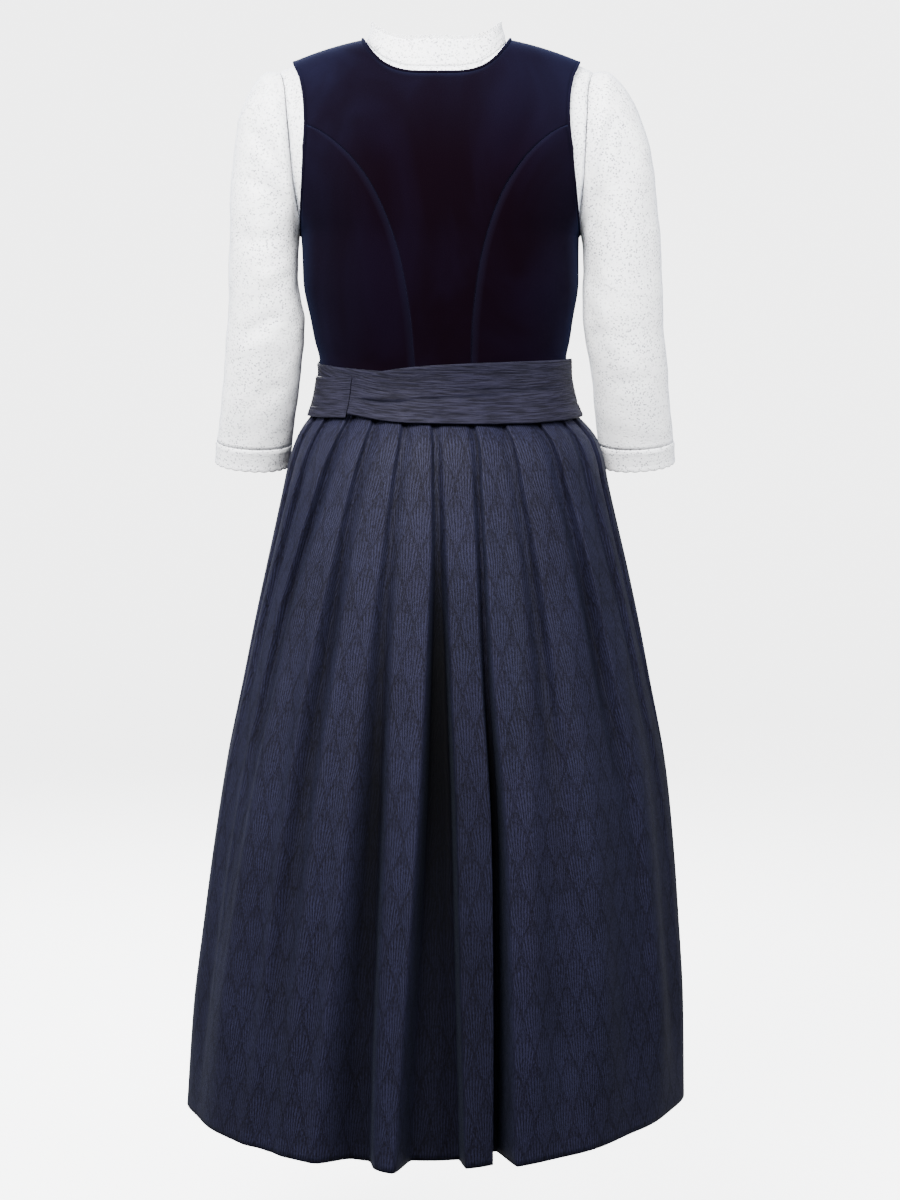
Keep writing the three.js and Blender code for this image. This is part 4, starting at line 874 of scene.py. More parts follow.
def picots(edge, lace):
    """Small thread loops along the collar's upper edge, joined into one mesh."""
    points = resampled(edge, PICOT_STEP)
    way = unit(np.gradient(points, axis=0))
    turn = np.linspace(0, 2 * math.pi, PICOT_SPOKES, endpoint=False)
    around = np.linspace(0, 2 * math.pi, THREAD_SIDES, endpoint=False)
    vertices, faces = [], []
    up = np.array([0, 0, 1.0])
    for point, along in zip(points, way):
        out = np.cross(along, up)
        first = len(vertices)
        for a in turn:
            spoke = along * math.cos(a) + up * math.sin(a)
            for b in around:
                reach = PICOT_RADIUS + PICOT_THREAD * math.cos(b)
                aside = out * PICOT_THREAD * math.sin(b)
                vertices.append(point + up * PICOT_LIFT + spoke * reach + aside)
        for i in range(PICOT_SPOKES):
            here, there = (first + k % PICOT_SPOKES * THREAD_SIDES for k in (i, i + 1))
            for j in range(THREAD_SIDES):
                k = (j + 1) % THREAD_SIDES
                faces.append([here + j, here + k, there + k, there + j])
    piece = new_piece("blouse_collar_picots", vertices, faces, lace)
    piece.data.uv_layers.new(name="cloth_mm")
    dress(piece)


# ---------------------------------------------------------------- skirt
skirt_width, skirt_back, skirt_front, skirt_middle, skirt_shear = (curve(SKIRT, k) for k in range(1, 6))


def section(degrees, width, back, front, bend, out):
    """x and y on a rounded section, at angles from the centre back and at distances out from it."""
    turn = np.radians(degrees)
    sin, cos = np.sin(turn), np.cos(turn)
    depth = np.where(cos >= 0, back, front)
    nx, ny = -sin / width, cos / depth
    size = np.hypot(nx, ny)
    return -width * power(sin, bend) + nx / size * out, depth * power(cos, bend) + ny / size * out


def hang_point(degrees, z, out, t=None):
    """Points on the skirt's section. With t, its share of the height, the hem sways."""
    share = np.clip((SKIRT_TOP - z) / (SKIRT_TOP - HEM), 0, 1)
    bend = 2 / mix(SKIRT_POWER_WAIST, SKIRT_POWER_HEM, np.sqrt(share))
    x, y = section(degrees, skirt_width(z), skirt_back(z), skirt_front(z), bend, out)
    low = z
    if t is not None:
        low = z - mix(HEM_SWAY_CENTRE, HEM_SWAY_SIDE, np.sin(np.radians(degrees)) ** 2) * t * t
    x, y, low = np.broadcast_arrays(x + skirt_middle(z), y + skirt_shear(z) * x, low)
    return np.stack([x, y, low], -1)


def pleat_keys(pleat, t):
    """Angles and distances out of a pleat's folded edge, soft side and floor at share t."""
    at, depth, half, edge, soft = pleat
    place = through(PLEAT_HEIGHTS, at)(t)
    opened = mix(PLEAT_TOP_DEPTH, 1, np.clip(t / PLEAT_HEIGHTS[0], 0, 1))
    depth = through(PLEAT_HEIGHTS, depth)(t) * opened
    half = through(PLEAT_HEIGHTS, half)(t)
    edge = mix(edge[0], edge[1], t)
    soft = mix(soft[0], soft[1], np.sqrt(t))
    away = np.where(place > 180, -1, np.sign(place))
    keys = [
        (place + away * (half + edge), 0 * depth),
        (place - away * (half + soft * PLEAT_SOFT_PLACE), -depth * PLEAT_SOFT_DEPTH),
        (place + away * half, -depth),
        (place - away * half, -depth),
    ]
    first = away[0] > 0 if np.ndim(away) else away > 0
    order = (1, 3, 2, 0) if first else (0, 2, 3, 1)
    return [keys[k] for k in order], depth


def skirt_half(pleats, start, end, t, spans):
    """Angles and distances out of pleated cloth from one seam to the next, and its floors' columns
    and depths. t holds the levels, as shares of the height."""
    columns, depths = [(np.full_like(t, start), 0 * t)], []
    for pleat in pleats:
        keys, depth = pleat_keys(pleat, t)
        depths.append(depth)
        columns += keys
    columns.append((np.full_like(t, end), 0 * t))
    degrees = np.array([c[0] for c in columns]).T
    out = np.array([c[1] for c in columns]).T
    wide, narrow, floor = spans
    shares, floor_columns = [], []
    for k in range(len(columns) - 1):
        inside = (k - 1) % 4
        if k in (0, len(columns) - 2) or inside == 3:
            count = wide
        elif inside == 1:
            floor_columns.append(len(shares) + floor // 2)
            count = floor
        else:
            count = narrow
        shares += [k + i / count for i in range(count)]
    shares.append(len(columns) - 1.0)
    shares = np.array(shares)
    base = np.minimum(shares.astype(int), len(columns) - 2)
    part = shares - base
    fine_degrees = mix(degrees[:, base], degrees[:, base + 1], part)
    fine_out = np.array([through(degrees[i], out[i])(fine_degrees[i]) for i in range(len(t))])
    return fine_degrees, fine_out, floor_columns, np.array(depths).T


def cloth_coordinates(grid, floor_columns, depths):
    """Flat coordinates of pleated cloth. Between two pleats the cloth keeps its own width; what is
    folded away inside a pleat is skipped at the pleat's floor, and blended in where it has opened."""
    along = lengths(grid, 1)
    ends = [0] + floor_columns + [grid.shape[1] - 1]
    middles = [(a + b) // 2 for a, b in zip(ends[:-1], ends[1:])]
    hem = along[-1]
    start, finish = along * 1.0, along * 1.0
    first, last = middles[0], middles[-1]
    for shown in (start, finish):
        shown[:, : first + 1] = hem[first] - (along[:, first : first + 1] - along[:, : first + 1])
        shown[:, last:] = hem[last] + (along[:, last:] - along[:, last : last + 1])
    for p, (a, b) in enumerate(zip(middles[:-1], middles[1:])):
        at_floor = floor_columns[p]
        wide = along[:, b : b + 1] - along[:, a : a + 1]
        whole = hem[b] - hem[a]
        hidden = (whole - wide) * smooth(depths[:, p : p + 1] / PLEAT_CLOSED)
        scale = (whole - hidden) / wide
        left = hem[a] + (along[:, a : at_floor + 1] - along[:, a : a + 1]) * scale
        right = hem[b] - (along[:, b : b + 1] - along[:, at_floor : b + 1]) * scale
        start[:, a:at_floor] = finish[:, a:at_floor] = left[:, :-1]
        start[:, at_floor : b + 1] = finish[:, at_floor : b + 1] = right
        finish[:, at_floor] = left[:, -1]
    down = lengths(grid, 0).mean(axis=1, keepdims=True)
    return (start, finish), -(down + 0 * along)


SKIRT_LEVELS = segments((0.03, 7), (0.08, 9), (0.3, 30), (1, 78))
BACK_SPANS, FRONT_SPANS = (14, 5, 4), (10, 4, 2)  # columns between pleats, down a side and on a floor


def front_pleats(side):
    """The pleats of one front half: side is 1 for the wearer's right and -1 for the left."""
    places = [FRONT_PLEAT_FIRST + i * FRONT_PLEAT_STEP for i in range(FRONT_PLEAT_COUNT)]
    degrees = sorted(place if side > 0 else 360 - place for place in places)
    return [((place,) * 5, *FRONT_PLEAT_SHAPE) for place in degrees]


# Soft folds that fall down the skirt between its pleats: angle and cm below the waist at their upper
# and lower ends, bow and width in degrees, height in mm
SKIRT_FOLDS = [
    (-53, 14, -62, 82, 1.5, 4.5, 3),
    (-47, 22, -52, 84, -1.5, 4.5, -4.5),
    (-38, 12, -44, 80, 1, 3.6, 3.2),
    (-30, 20, -33, 84, -1.5, 4.2, -5),
    (-25, 28, -27, 86, 1, 3, 3.5),
    (-66, 24, -73, 84, 1, 4, -3),
    (-11.5, 16, -12.5, 84, 0.8, 2.8, -3),
    (-8, 24, -7.5, 84, 0, 2, 2.6),
    (3.5, 26, 5, 84, 0, 2.4, -2.6),
    (21, 18, 24, 84, 1, 3, 4),
    (27, 26, 31, 84, -1, 4, -5),
    (37, 16, 42, 80, 1, 4, 3),
    (45, 22, 51, 86, -1, 4.5, -4.5),
    (58, 18, 64, 84, 1.5, 4.5, 3),
    (68, 26, 74, 84, 1, 4, -3),
]
SKIRT_RIPPLE = [(92, 0.1, 0.8), (150, 0.3, 0.6)]


HIDDEN_FOLDS, HIDDEN_SINK = 0.45, 1.2  # how much of the folds the front shows, and how far it lies in


def skirt(jacquard):
    for name, pleats, start, end, spans in (
        ("skirt_back", PLEATS, -90, 90, BACK_SPANS),
        ("skirt_front_right", front_pleats(1), 90, 180, FRONT_SPANS),
        ("skirt_front_left", front_pleats(-1), 180, 270, FRONT_SPANS),
    ):
        degrees, out, floors, depths = skirt_half(pleats, start, end, SKIRT_LEVELS, spans)
        t = SKIRT_LEVELS[:, None]
        drop = t * (SKIRT_TOP - HEM)
        hidden = name != "skirt_back"
        turned = (degrees - 180) * 0.9 if hidden else degrees
        folds = crease(turned, drop / 10, SKIRT_FOLDS)
        ripple = bump_sum(31, turned * 4.2, drop * 0.24, SKIRT_RIPPLE)
        inside = np.clip(1 + out / 6, 0, 1)
        edge = smooth((degrees - start) / 3) * smooth((end - degrees) / 3)
        lower = hump(t - 1, 0.3)
        height = (folds * (1 + 0.8 * lower) + 1.3 * ripple * smooth(t / 0.25)) * inside * edge
        if hidden:
            height = height * HIDDEN_FOLDS - HIDDEN_SINK * edge
        grid = hang_point(degrees, mix(SKIRT_TOP, HEM, t), out + height, t)
        u, v = cloth_coordinates(grid, floors, depths)
        # painted shade: the cloth is darkened down the pleats by how deep it lies in them, half as much
        # near the hem
        deep = smooth(-out / 30 * np.ones_like(degrees)) * mix(1, 0.5, smooth((t - 0.45) / 0.5))
        cloth(name, grid, jacquard, u=u, v=v, mark=deep)


# ---------------------------------------------------------------- apron
sash_width, sash_back, sash_front, sash_lean = (curve(SASH_BED, k) for k in range(1, 5))


def bed_point(degrees, z, out):
    """Points on the bed that band and ties lie on."""
    x, y = section(degrees, sash_width(z), sash_back(z), sash_front(z), 2 / BODY_POWER, out)
    return np.stack(np.broadcast_arrays(x + sash_lean(z), y, z), -1)


CRINKLE_PITCHES = (2.1, 2.9, 3.7, 5.3)
STRIP_ROWS, STRIP_COLUMNS = 46, 420


def crinkled(seed, along, across, height):
    """Fine uneven folds that run along a strip of crinkled cloth."""
    chance = np.random.default_rng(seed)
    total = 0
    for pitch in CRINKLE_PITCHES:
        wander = sum(
            chance.uniform(0.3, 0.9) * np.sin(along / chance.uniform(14, 50) + chance.uniform(0, 6.28))
            for _ in range(3)
        )
        total = total + np.sin((across + wander) * 2 * math.pi / pitch + chance.uniform(0, 6.28))
    return height * total / len(CRINKLE_PITCHES)


def strip(name, degrees, low, high, out, folds, crinkle, seed):
    """A flat tie or band round the waist, doubled cloth with rounded long edges."""
    up = np.linspace(0, 1, STRIP_ROWS)[:, None]
    z = mix(low[None, :], high[None, :], up)
    grid = bed_point(degrees[None, :], z, out[None, :] + CRINKLE)
    along, across = lengths(grid, 1), lengths(grid, 0)
    tall = across[-1:]
    height = crinkled(seed, along, across, 0.42)
    rim = np.minimum(across, tall - across)
    height += groove(rim, 1.1, 0.7)
    folded = crease(along, across, folds)
    grid = raised(grid, height + folded, axis_core(grid))
    # painted shade: darker in the creases' troughs and along the rolled long edges
    mark = np.clip(-folded / 1.6, 0, 1) + 0.5 * hump(rim, 0.8)
    cloth(name, grid, crinkle, u=(along, along), v=across, mark=mark)


# Creases of the left tie: mm along it and up it at both ends, bow, width, height
LEFT_TIE_FOLDS = [
    (2, 18, 76, 25, -1, 1.2, -2.2),
    (6, 24, 90, 30, -1, 2.6, 0.9),
    (58, 24, 190, 33, 1.5, 1.4, -1.4),
    (60, 12, 200, 14, 2, 2.5, 0.7),
    (110, 40, 260, 38, -2, 2.5, -0.8),
    (150, 22, 300, 26, 2, 2, 0.8),
    (230, 14, 380, 20, -2, 2, -1),
    (300, 34, 460, 30, 2, 2.4, -0.9),
    (420, 16, 560, 22, -2, 2.2, 0.9),
]
RIGHT_TIE_FOLDS = [
    (60, 12, 200, 16, 1.5, 2, -0.8),
    (180, 22, 300, 20, -1.5, 2, 0.8),
    (330, 14, 470, 10, 1.5, 2, -0.9),
]
BAND_FOLDS = [
    (10, 14, 90, 12, 1, 2, -0.6),
    (200, 30, 420, 26, 2, 3, 0.7),
    (500, 14, 600, 18, -2, 2, -0.7),
]


def tie_rows(rows):
    index = np.arange(len(rows))
    at = np.linspace(0, len(rows) - 1, STRIP_COLUMNS)
    return [through(index, [row[k] for row in rows])(at) for k in range(4)]


def apron_crest(z):
    t = np.clip((z - APRON_TOP) / (APRON_HEM - APRON_TOP), 0, 1)
    return APRON_CLEAR + CRINKLE + mix(TOP_RISE, HEM_RISE, np.sqrt(t))


def apron_panel(crinkle):
    count = GATHERS * 3
    place = np.arange(count + 1)
    tall = mix(1, 0.75, (1 - np.sin(place * 1.9)) / 2)
    crest = np.array([0.5, 1, 0])[place % 3] * tall
    shares = np.linspace(0, count, count * 5 + 1)
    smooth_crest = through(place, crest)(shares)
    t = segments((0.06, 8), (1, 72))[:, None]
    z = mix(APRON_TOP, APRON_HEM, t)
    low = APRON_CLEAR + CRINKLE
    out = mix(low, apron_crest(z), smooth_crest[None, :])
    swing = 0.5 * np.sin(t * 7 + shares[None, :] * 0.31) * t
    degrees = mix(APRON_FROM, APRON_TO, shares / count)[None, :] + swing
    out = out + 0.6 * bump_sum(41, degrees * 4, z, [(60, 0.2, 0.6), (140, 1.2, 0.6)]) * smooth(t * 4)
    grid = hang_point(degrees, z, np.maximum(out, low - 1), t)
    cloth("apron_panel", grid, crinkle, u=(lengths(grid, 0),) * 2, v=lengths(grid, 1))


def per_degree(z):
    return math.radians(1) * skirt_width(z)


def bow_point(aside, z, out):
    """Points on the bow's bed: mm aside of the knot, height, distance out from it."""
    turned = aside / per_degree(np.minimum(z, BAND_BOTTOM))
    return hang_point(BOW_AT + turned, np.minimum(z, SKIRT_TOP), BOW_CLEAR + out)


LOOP_ROOT, LOOP_REACH, LOOP_HALF, LOOP_FULL_OVER = 15, 98, (10, 23), 60
LOOP_DROP, LOOP_DROOP = 5, 0.34


def bow_loop(name, direction, crinkle):
    turn = math.pi * (2 * np.linspace(0, 1, 73)[:-1] - 0.5)
    ahead = np.maximum(0, -np.cos(turn)) ** 0.8
    behind = np.maximum(0, np.cos(turn)) ** 0.8
    aside = mix(LOOP_ROOT, LOOP_REACH, (1 + np.sin(turn)) / 2)
    out = BOW_LIFT + 2 * (1 - behind) + 20 * ahead
    up = np.linspace(0, 1, 25)[:, None]
    full = np.sqrt(np.clip((aside - LOOP_ROOT) / LOOP_FULL_OVER, 0, 1))
    half = mix(*LOOP_HALF, full)
    z = BOW_Z - LOOP_DROP - LOOP_DROOP * aside[None, :] + mix(-1, 1, up) * half[None, :]
    ripple = 1.6 * np.sin(up * 13 + aside[None, :] / 17) * np.exp(-((aside[None, :] - LOOP_ROOT) / 45))
    grid = bow_point(direction * aside[None, :] + 0 * z, z, out[None, :] + ripple)
    core = bow_point(direction * 49.0 + 0 * z, z, BOW_LIFT + 10 + 0 * z)
    along = lengths(grid, 1)
    closing = np.concatenate([along[:, -1:] + 2.3, along[:, 1:]], 1)
    grid = raised(grid, crinkled(51, along, up * 46 + 0 * along, 0.3), core, True)
    cloth(name, grid, crinkle, core, True, u=(along, closing), v=lengths(grid, 0))


def bow_tail(name, direction, layer, crinkle):
    t = np.linspace(0, 1, 90)[:, None]
    across = np.linspace(0, 1, 33)[None, :]
    z = mix(TAIL_TOP, TAIL_BOTTOM, t)
    half = mix(9, 29, np.sqrt(t)) / per_degree(z)
    middle = BOW_AT + direction * mix(3, 11, t)
    wave = 0.7 * (1 + np.sin(across * 9 + t * 4))
    z = z + 0 * across
    grid = hang_point(middle + mix(-half, half, across), z, apron_crest(z) + CRINKLE + layer + wave)
    along, wide = lengths(grid, 0), lengths(grid, 1)
    grid = raised(grid, crinkled(61, along, wide, 0.3), axis_core(grid))
    cloth(name, grid, crinkle, u=(along, along), v=wide)


def bow_knot(crinkle):
    centre = bow_point(np.array(0.0), np.array(float(BOW_Z)), np.array(BOW_LIFT))
    facing_turn = math.radians(BOW_AT + 180)
    u = np.linspace(0, math.pi, 25)[:, None]
    w = np.linspace(0, 2 * math.pi, 49)[:-1][None, :]
    swell = 1 + 0.05 * np.sin(w * 5 + 2 * np.cos(u)) + 0.03 * np.sin(w * 11 + u * 3)
    x = 12.5 * np.sin(u) * np.cos(w) * swell
    y = 8 * np.sin(u) * np.sin(w) * swell
    z = 17 * np.cos(u) * (1 + 0 * w) * 0.97
    cos, sin = math.cos(facing_turn), math.sin(facing_turn)
    grid = centre + np.stack([x * cos - y * sin, x * sin + y * cos, z], -1)
    tube("apron_bow_knot", grid, crinkle)


def apron(crinkle):
    apron_panel(crinkle)
    flat = np.ones(STRIP_COLUMNS)
    band = (flat * level for level in (BAND_BOTTOM, BAND_TOP, MIDDLE))
    strip("apron_band", np.linspace(BAND_FROM, BAND_TO, STRIP_COLUMNS), *band, BAND_FOLDS, crinkle, 71)
    strip("apron_tie_left", *tie_rows(LEFT_TIE), LEFT_TIE_FOLDS, crinkle, 72)
    strip("apron_tie_right", *tie_rows(RIGHT_TIE), RIGHT_TIE_FOLDS, crinkle, 73)
    bow_loop("apron_bow_loop_left", 1, crinkle)
    bow_loop("apron_bow_loop_right", -1, crinkle)
    bow_knot(crinkle)
    bow_tail("apron_bow_tail_left", 1, 4, crinkle)
    bow_tail("apron_bow_tail_right", -1, 1.2, crinkle)


# ---------------------------------------------------------------- materials
class Field:
    """A value in a node tree, with arithmetic that adds Math nodes."""

    def __init__(self, tree, socket):
        self.tree, self.socket = tree, socket

    def math(self, operation, *others):
        node = self.tree.nodes.new("ShaderNodeMath")
        node.operation = operation
        for slot, value in zip(node.inputs, (self, *others)):
            put(value, slot)
        return Field(self.tree, node.outputs[0])

    def __add__(self, other):
        return self.math("ADD", other)

    def __sub__(self, other):
        return self.math("SUBTRACT", other)

    def __mul__(self, other):
        return self.math("MULTIPLY", other)

    def __truediv__(self, other):
        return self.math("DIVIDE", other)

    def absolute(self):
        return self.math("ABSOLUTE")

    def clamped(self):
        return self.math("MAXIMUM", 0.0).math("MINIMUM", 1.0)

    def step(self, low, high):
        """Rises smoothly from 0 at low to 1 at high."""
        node = self.tree.nodes.new("ShaderNodeMapRange")
        node.interpolation_type = "SMOOTHSTEP"
        for name, value in (("Value", self), ("From Min", low), ("From Max", high)):
            put(value, node.inputs[name])
        return Field(self.tree, node.outputs["Result"])


def put(value, slot):
    """Links a field to an input, or sets the input to a number or a colour."""
    if isinstance(value, Field):
        value.tree.links.new(value.socket, slot)
    else:
        slot.default_value = (*value, 1) if isinstance(value, tuple) else value


class Weave:
    """A principled material with helpers for its patterns. Lengths are millimetres."""

    def __init__(self, name):
        self.material = bpy.data.materials.new(name)
        self.material.use_nodes = True
        self.tree = self.material.node_tree
        self.shader = self.tree.nodes["Principled BSDF"]

    def node(self, kind, output, **inputs):
        """The output of a new node whose inputs are linked or set by name."""
        node = self.tree.nodes.new(f"ShaderNode{kind}")
        for name, value in inputs.items():
            put(value, node.inputs[name])
        return Field(self.tree, node.outputs[output])

    def finish(self, **inputs):
        """Links or sets the shader's own inputs and gives back the material."""
        for name, value in inputs.items():
            put(value, self.shader.inputs[name.replace("_", " ")])
        return self.material

    def split(self, vector):
        node = self.tree.nodes.new("ShaderNodeSeparateXYZ")
        put(vector, node.inputs[0])
        return [Field(self.tree, socket) for socket in node.outputs]

    def flat(self):
        """The cloth's own coordinates u and v."""
        uv = self.node("UVMap", 0)
        uv.socket.node.uv_map = "cloth_mm"
        return self.split(uv)[:2]

    def place(self):
        """Coordinates in the object, in millimetres."""
        return [field * 1000 for field in self.split(self.node("TexCoord", "Object"))]

    def mark(self):
        """How much a point lies in a seam or an eyelet, and how much painted shade it takes in a crease,
        down a fold or under the arm.
        """
        field = self.node("Attribute", "Fac")
        field.socket.node.attribute_name = "mark"
        return field

    def vector(self, fields):
        return self.node("CombineXYZ", 0, **dict(zip("XYZ", fields)))

    def noise(self, fields, scale, detail=2.0, rough=0.5, distortion=0.0):
        return self.node("TexNoise", 0, Vector=self.vector(fields), Scale=scale, Detail=detail,
                         Roughness=rough, Distortion=distortion)

    def dots(self, fields, scale):
        return self.node("TexVoronoi", "Distance", Vector=self.vector(fields), Scale=scale)

    # Layer Weight facing, for colours that paint sheen on the velvet and edge shade on the lace
    def grazing(self, blend):
        return self.node("LayerWeight", "Facing", Blend=blend)

    def mixed(self, share, first, second):
        node = self.tree.nodes.new("ShaderNodeMix")
        node.data_type = "RGBA"
        for name, value in (("Factor", share), ("A", first), ("B", second)):
            put(value, node.inputs[name])
        return Field(self.tree, [s for s in node.outputs if s.type == "RGBA"][0])

    def relief(self, height, depth, strength):
        return self.node("Bump", 0, Distance=depth / 1000, Strength=strength, Height=height)


def velvet_material():
    made = Weave("velvet")
    x, y, z = made.place()
    nap = made.noise((x, y, z), 1.1, 3)
    brushed = made.noise((x, y, z * 0.5), 0.010, 3, 0.55, 0.6)
    # painted sheen: the colour turns light blue where the velvet is seen at a grazing angle
    edge = made.grazing(0.4)
    # painted highlight: lighter towards the shoulders and towards the sides, in brushed patches
    high = (z + 150).step(0, 140)
    aside = (x + 13).absolute().step(70, 150)
    deep = made.mixed(brushed.step(0.4, 0.7), (0.0018, 0.0006, 0.0017), (0.0022, 0.0010, 0.0034))
    # painted sheen and highlight, which lift the velvet's colour towards light blue
    painted_sheen_and_highlight = edge.step(0.3, 1.0) * 0.75 + high * (brushed * 0.22) + aside * (brushed * 0.2)
    lit = made.mixed(painted_sheen_and_highlight * (nap * 0.8 + 0.6), deep, (0.0095, 0.0118, 0.0320))
    return made.finish(
        Base_Color=made.mixed(made.mark() * 0.2, lit, (0.008, 0.009, 0.022)),
        Normal=made.relief(nap, 0.3, 0.5),
        Roughness=0.95, Sheen_Weight=0.01, Sheen_Roughness=0.4, Sheen_Tint=(0.35, 0.5, 0.9),
        Specular_IOR_Level=0.01,
    )


REPEAT_WIDTH, REPEAT_HEIGHT = 25.0, 76.0
FAN_FOOT, FAN_RAYS, FAN_HEAD = 60.0, 140.0, 20.0  # mm below a fan's middle, rays a radian, mm above


def jacquard_material():
    """Navy cloth with tall pointed fans, like scales, each row half a repeat over from the next."""
    made = Weave("jacquard")
    u, v = made.flat()
    u = u + (made.noise((u, v, u), 0.03, 1) - 0.5) * 4
    fans, arches, rims = [], [], []
    for shift in (0.0, 0.5):
        across = ((u / REPEAT_WIDTH + shift).math("FRACT") - 0.5) * REPEAT_WIDTH
        along = ((v / REPEAT_HEIGHT + shift).math("FRACT") - 0.5) * REPEAT_HEIGHT
        swell = (along * (math.pi / REPEAT_HEIGHT)).math("COSINE").math("POWER", 0.85)
        reach = swell * (REPEAT_WIDTH / 2) - across.absolute()
        upper = along.step(-0.5, 0.5)
        rays = (across / (along + FAN_FOOT) * FAN_RAYS).math("COSINE").step(-0.5, 0.6)
        head = across * across * 0.06 + along
        fans.append(rays * (head.step(FAN_HEAD, FAN_HEAD + 4) * -0.45 + 1.0))
        arches.append(reach.step(-0.3, 0.3) * upper)
        rims.append((reach.absolute() * -1 + 1.9).step(0, 1.3) * upper)
    # inside an arch its own fan shows, and outside it the foot of the next row's fan
    own = arches[0] + (arches[1] * -1 + 1.0) * upper
    figure = fans[0] * own + fans[1] * (own * -1 + 1.0)
    figure = figure * (rims[0].math("MAXIMUM", rims[1]) * -0.9 + 1.0)
    grain = made.noise((u, v, u), 0.9, 2, 0.7)
    threads = made.noise((u * 2.6, v * 0.5, u), 0.55, 1)
    cloud = made.noise((u, v, u), 0.012, 2)
    share = figure * 0.46 + (grain - 0.5) * 1.5 + (threads - 0.5) * 1.6 + (cloud - 0.5) * 0.4 + 0.17
    lit = made.mixed(share.clamped(), (0.0022, 0.0019, 0.0043), (0.0121, 0.0123, 0.0290))
    return made.finish(
        # painted shade: the colour goes near black down the skirt's pleats
        Base_Color=made.mixed(made.mark() * 0.97, lit, (0.0001, 0.0001, 0.0004)),
        Normal=made.relief(figure * 0.6 + grain * 1.2 + threads, 0.22, 0.6),
        Roughness=share * -0.15 + 0.62,
        Sheen_Weight=0.015, Sheen_Roughness=0.5, Sheen_Tint=(0.6, 0.7, 1), Specular_IOR_Level=0.05,
    )


def crinkle_material():
    made = Weave("crinkle")
    u, v = made.flat()
    lines = made.noise((u * 0.035, v * 0.62, u * 0.01), 1.0, 3, 0.6, 0.15)
    fine = made.noise((u * 0.12, v * 2.2, u * 0.02), 1.0, 2, 0.6)
    share = lines.step(0.36, 0.66) * 0.75 + (fine - 0.4) * 0.6
    lit = made.mixed(share.clamped(), (0.0026, 0.0023, 0.0054), (0.0128, 0.0120, 0.0240))
    return made.finish(
        # painted shade: darker in the creases and along the rolled edges of the band and ties
        Base_Color=made.mixed(made.mark() * 0.8, lit, (0.0022, 0.0024, 0.0070)),
        Normal=made.relief(lines * 1.4 + fine * 0.5, 0.9, 0.8),
        Roughness=share * -0.15 + 0.6,
        Sheen_Weight=0.012, Specular_IOR_Level=0.06,
    )


def lace_material():
    made = Weave("lace")
    x, y, z = made.place()
    eyelets = made.dots((x, y, z), 0.33)
    mesh = made.noise((x, y, z), 0.7, 3, 0.7)
    gate = made.noise((x, y, z), 0.026, 4, 0.6, 0.7).step(0.36, 0.58)
    spots = (eyelets * -1 + 0.42).step(0, 0.18) * mesh.step(0.42, 0.52)
    dotted = (made.dots((x * 0.8, y * 0.8, z), 0.11) * -1 + 0.15).step(0, 0.06)
    # eyelets show darker along the sleeve's stitched seam and on the cuffs, and under the arm as painted
    # shade
    holes = spots * (gate * 0.62 + 0.2 + made.mark()) + dotted * 0.35
    # painted shade: the white turns bluish grey where the lace is seen at a grazing angle
    base = made.mixed(made.grazing(0.3).step(0.3, 1.0), (0.95, 0.95, 0.96), (0.74, 0.79, 0.91))
    netted = mesh.step(0.35, 0.62) * -0.16 + gate * 0.1 + 0.14
    netted = made.mixed(netted, base, (0.5, 0.51, 0.57))
    return made.finish(
        Base_Color=made.mixed(holes.math("MINIMUM", 0.9), netted, (0.16, 0.16, 0.20)),
        Normal=made.relief(mesh * 0.9 - spots * 1.3, 0.5, 0.8),
        Roughness=0.85, Sheen_Weight=0.1, Specular_IOR_Level=0.2,
    )


# ---------------------------------------------------------------- studio
def area_light(name, place, target, size, power_w, colour):
    data = bpy.data.lights.new(name, "AREA")
    data.shape = "DISK"
    data.size = size
    data.energy = power_w
    data.color = colour
    light = bpy.data.objects.new(name, data)
    bpy.context.scene.collection.objects.link(light)
    light.visible_camera = False
    light.location = place
    way = np.array(target) - np.array(place)
    flat = math.hypot(way[0], way[1])
    light.rotation_euler = (math.atan2(flat, -way[2]), 0, math.atan2(way[1], way[0]) - math.pi / 2)


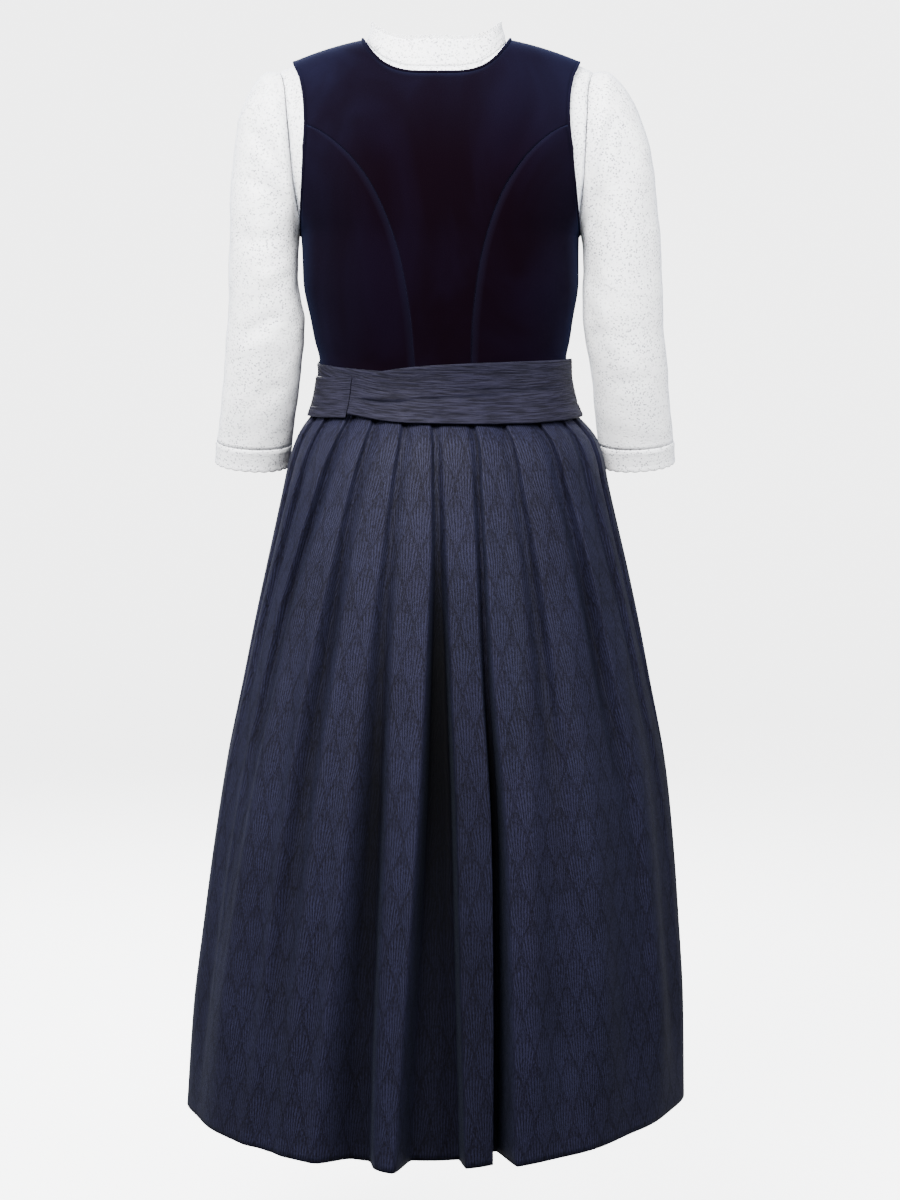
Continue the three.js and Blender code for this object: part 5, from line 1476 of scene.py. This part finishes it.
WORLD_LIGHT = 0.5
STAGE_GLOW = 3.5
FLOOR_Z = -1460
LIGHTS = [  # name, place, aimed at and size in metres, power, colour
    ("key", (0.6, 1.6, 1.1), (0, 0, -0.15), 1.2, 215, (1, 1, 1)),
    ("fill", (-1.6, 1.4, 0.65), (0, 0, -0.15), 1.3, 112, (0.96, 0.98, 1)),
    ("side", (2.2, 0.7, 0.4), (0, 0, -0.2), 1.4, 82, (0.96, 0.98, 1)),
    ("front", (0.5, -2.2, 1.0), (0, 0, -0.4), 1.8, 200, (1, 1, 1)),
]
STAGE_PROFILE = [  # distance from the middle, height
    (0, 0), (3600, 0), (4100, 60), (4500, 220), (4850, 500), (5080, 850), (5200, 1300), (5200, 5000),
]


def stage():
    """A pale floor that turns up into a backdrop all round. It throws no light on the cloth."""
    turn = np.linspace(0, 2 * math.pi, 97)[:-1]
    points = [(r * math.cos(a), r * math.sin(a), FLOOR_Z + h) for r, h in STAGE_PROFILE for a in turn]
    count = len(turn)
    faces = [
        (i + j, i + (j + 1) % count, i + count + (j + 1) % count, i + count + j)
        for i in range(0, count * (len(STAGE_PROFILE) - 1), count)
        for j in range(count)
    ]
    pale = Weave("pale_stage").finish(
        Base_Color=(0.85, 0.86, 0.88), Roughness=0.95, Specular_IOR_Level=0.1,
        Emission_Color=(1, 1, 1), Emission_Strength=STAGE_GLOW,
    )
    sweep = new_piece("stage", points, faces, pale)
    sweep.visible_diffuse = sweep.visible_glossy = sweep.visible_shadow = False


def studio():
    world = bpy.data.worlds.new("studio")
    bpy.context.scene.world = world
    world.use_nodes = True
    background = world.node_tree.nodes["Background"]
    background.inputs["Color"].default_value = (0.98, 0.985, 1.0, 1)
    background.inputs["Strength"].default_value = WORLD_LIGHT
    for light in LIGHTS:
        area_light(*light)
    stage()


# ---------------------------------------------------------------- the whole set
velvet, jacquard = velvet_material(), jacquard_material()
crinkle, lace = crinkle_material(), lace_material()
bodice_bindings(velvet, bodice(velvet))
blouse(lace)
skirt(jacquard)
apron(crinkle)
studio()
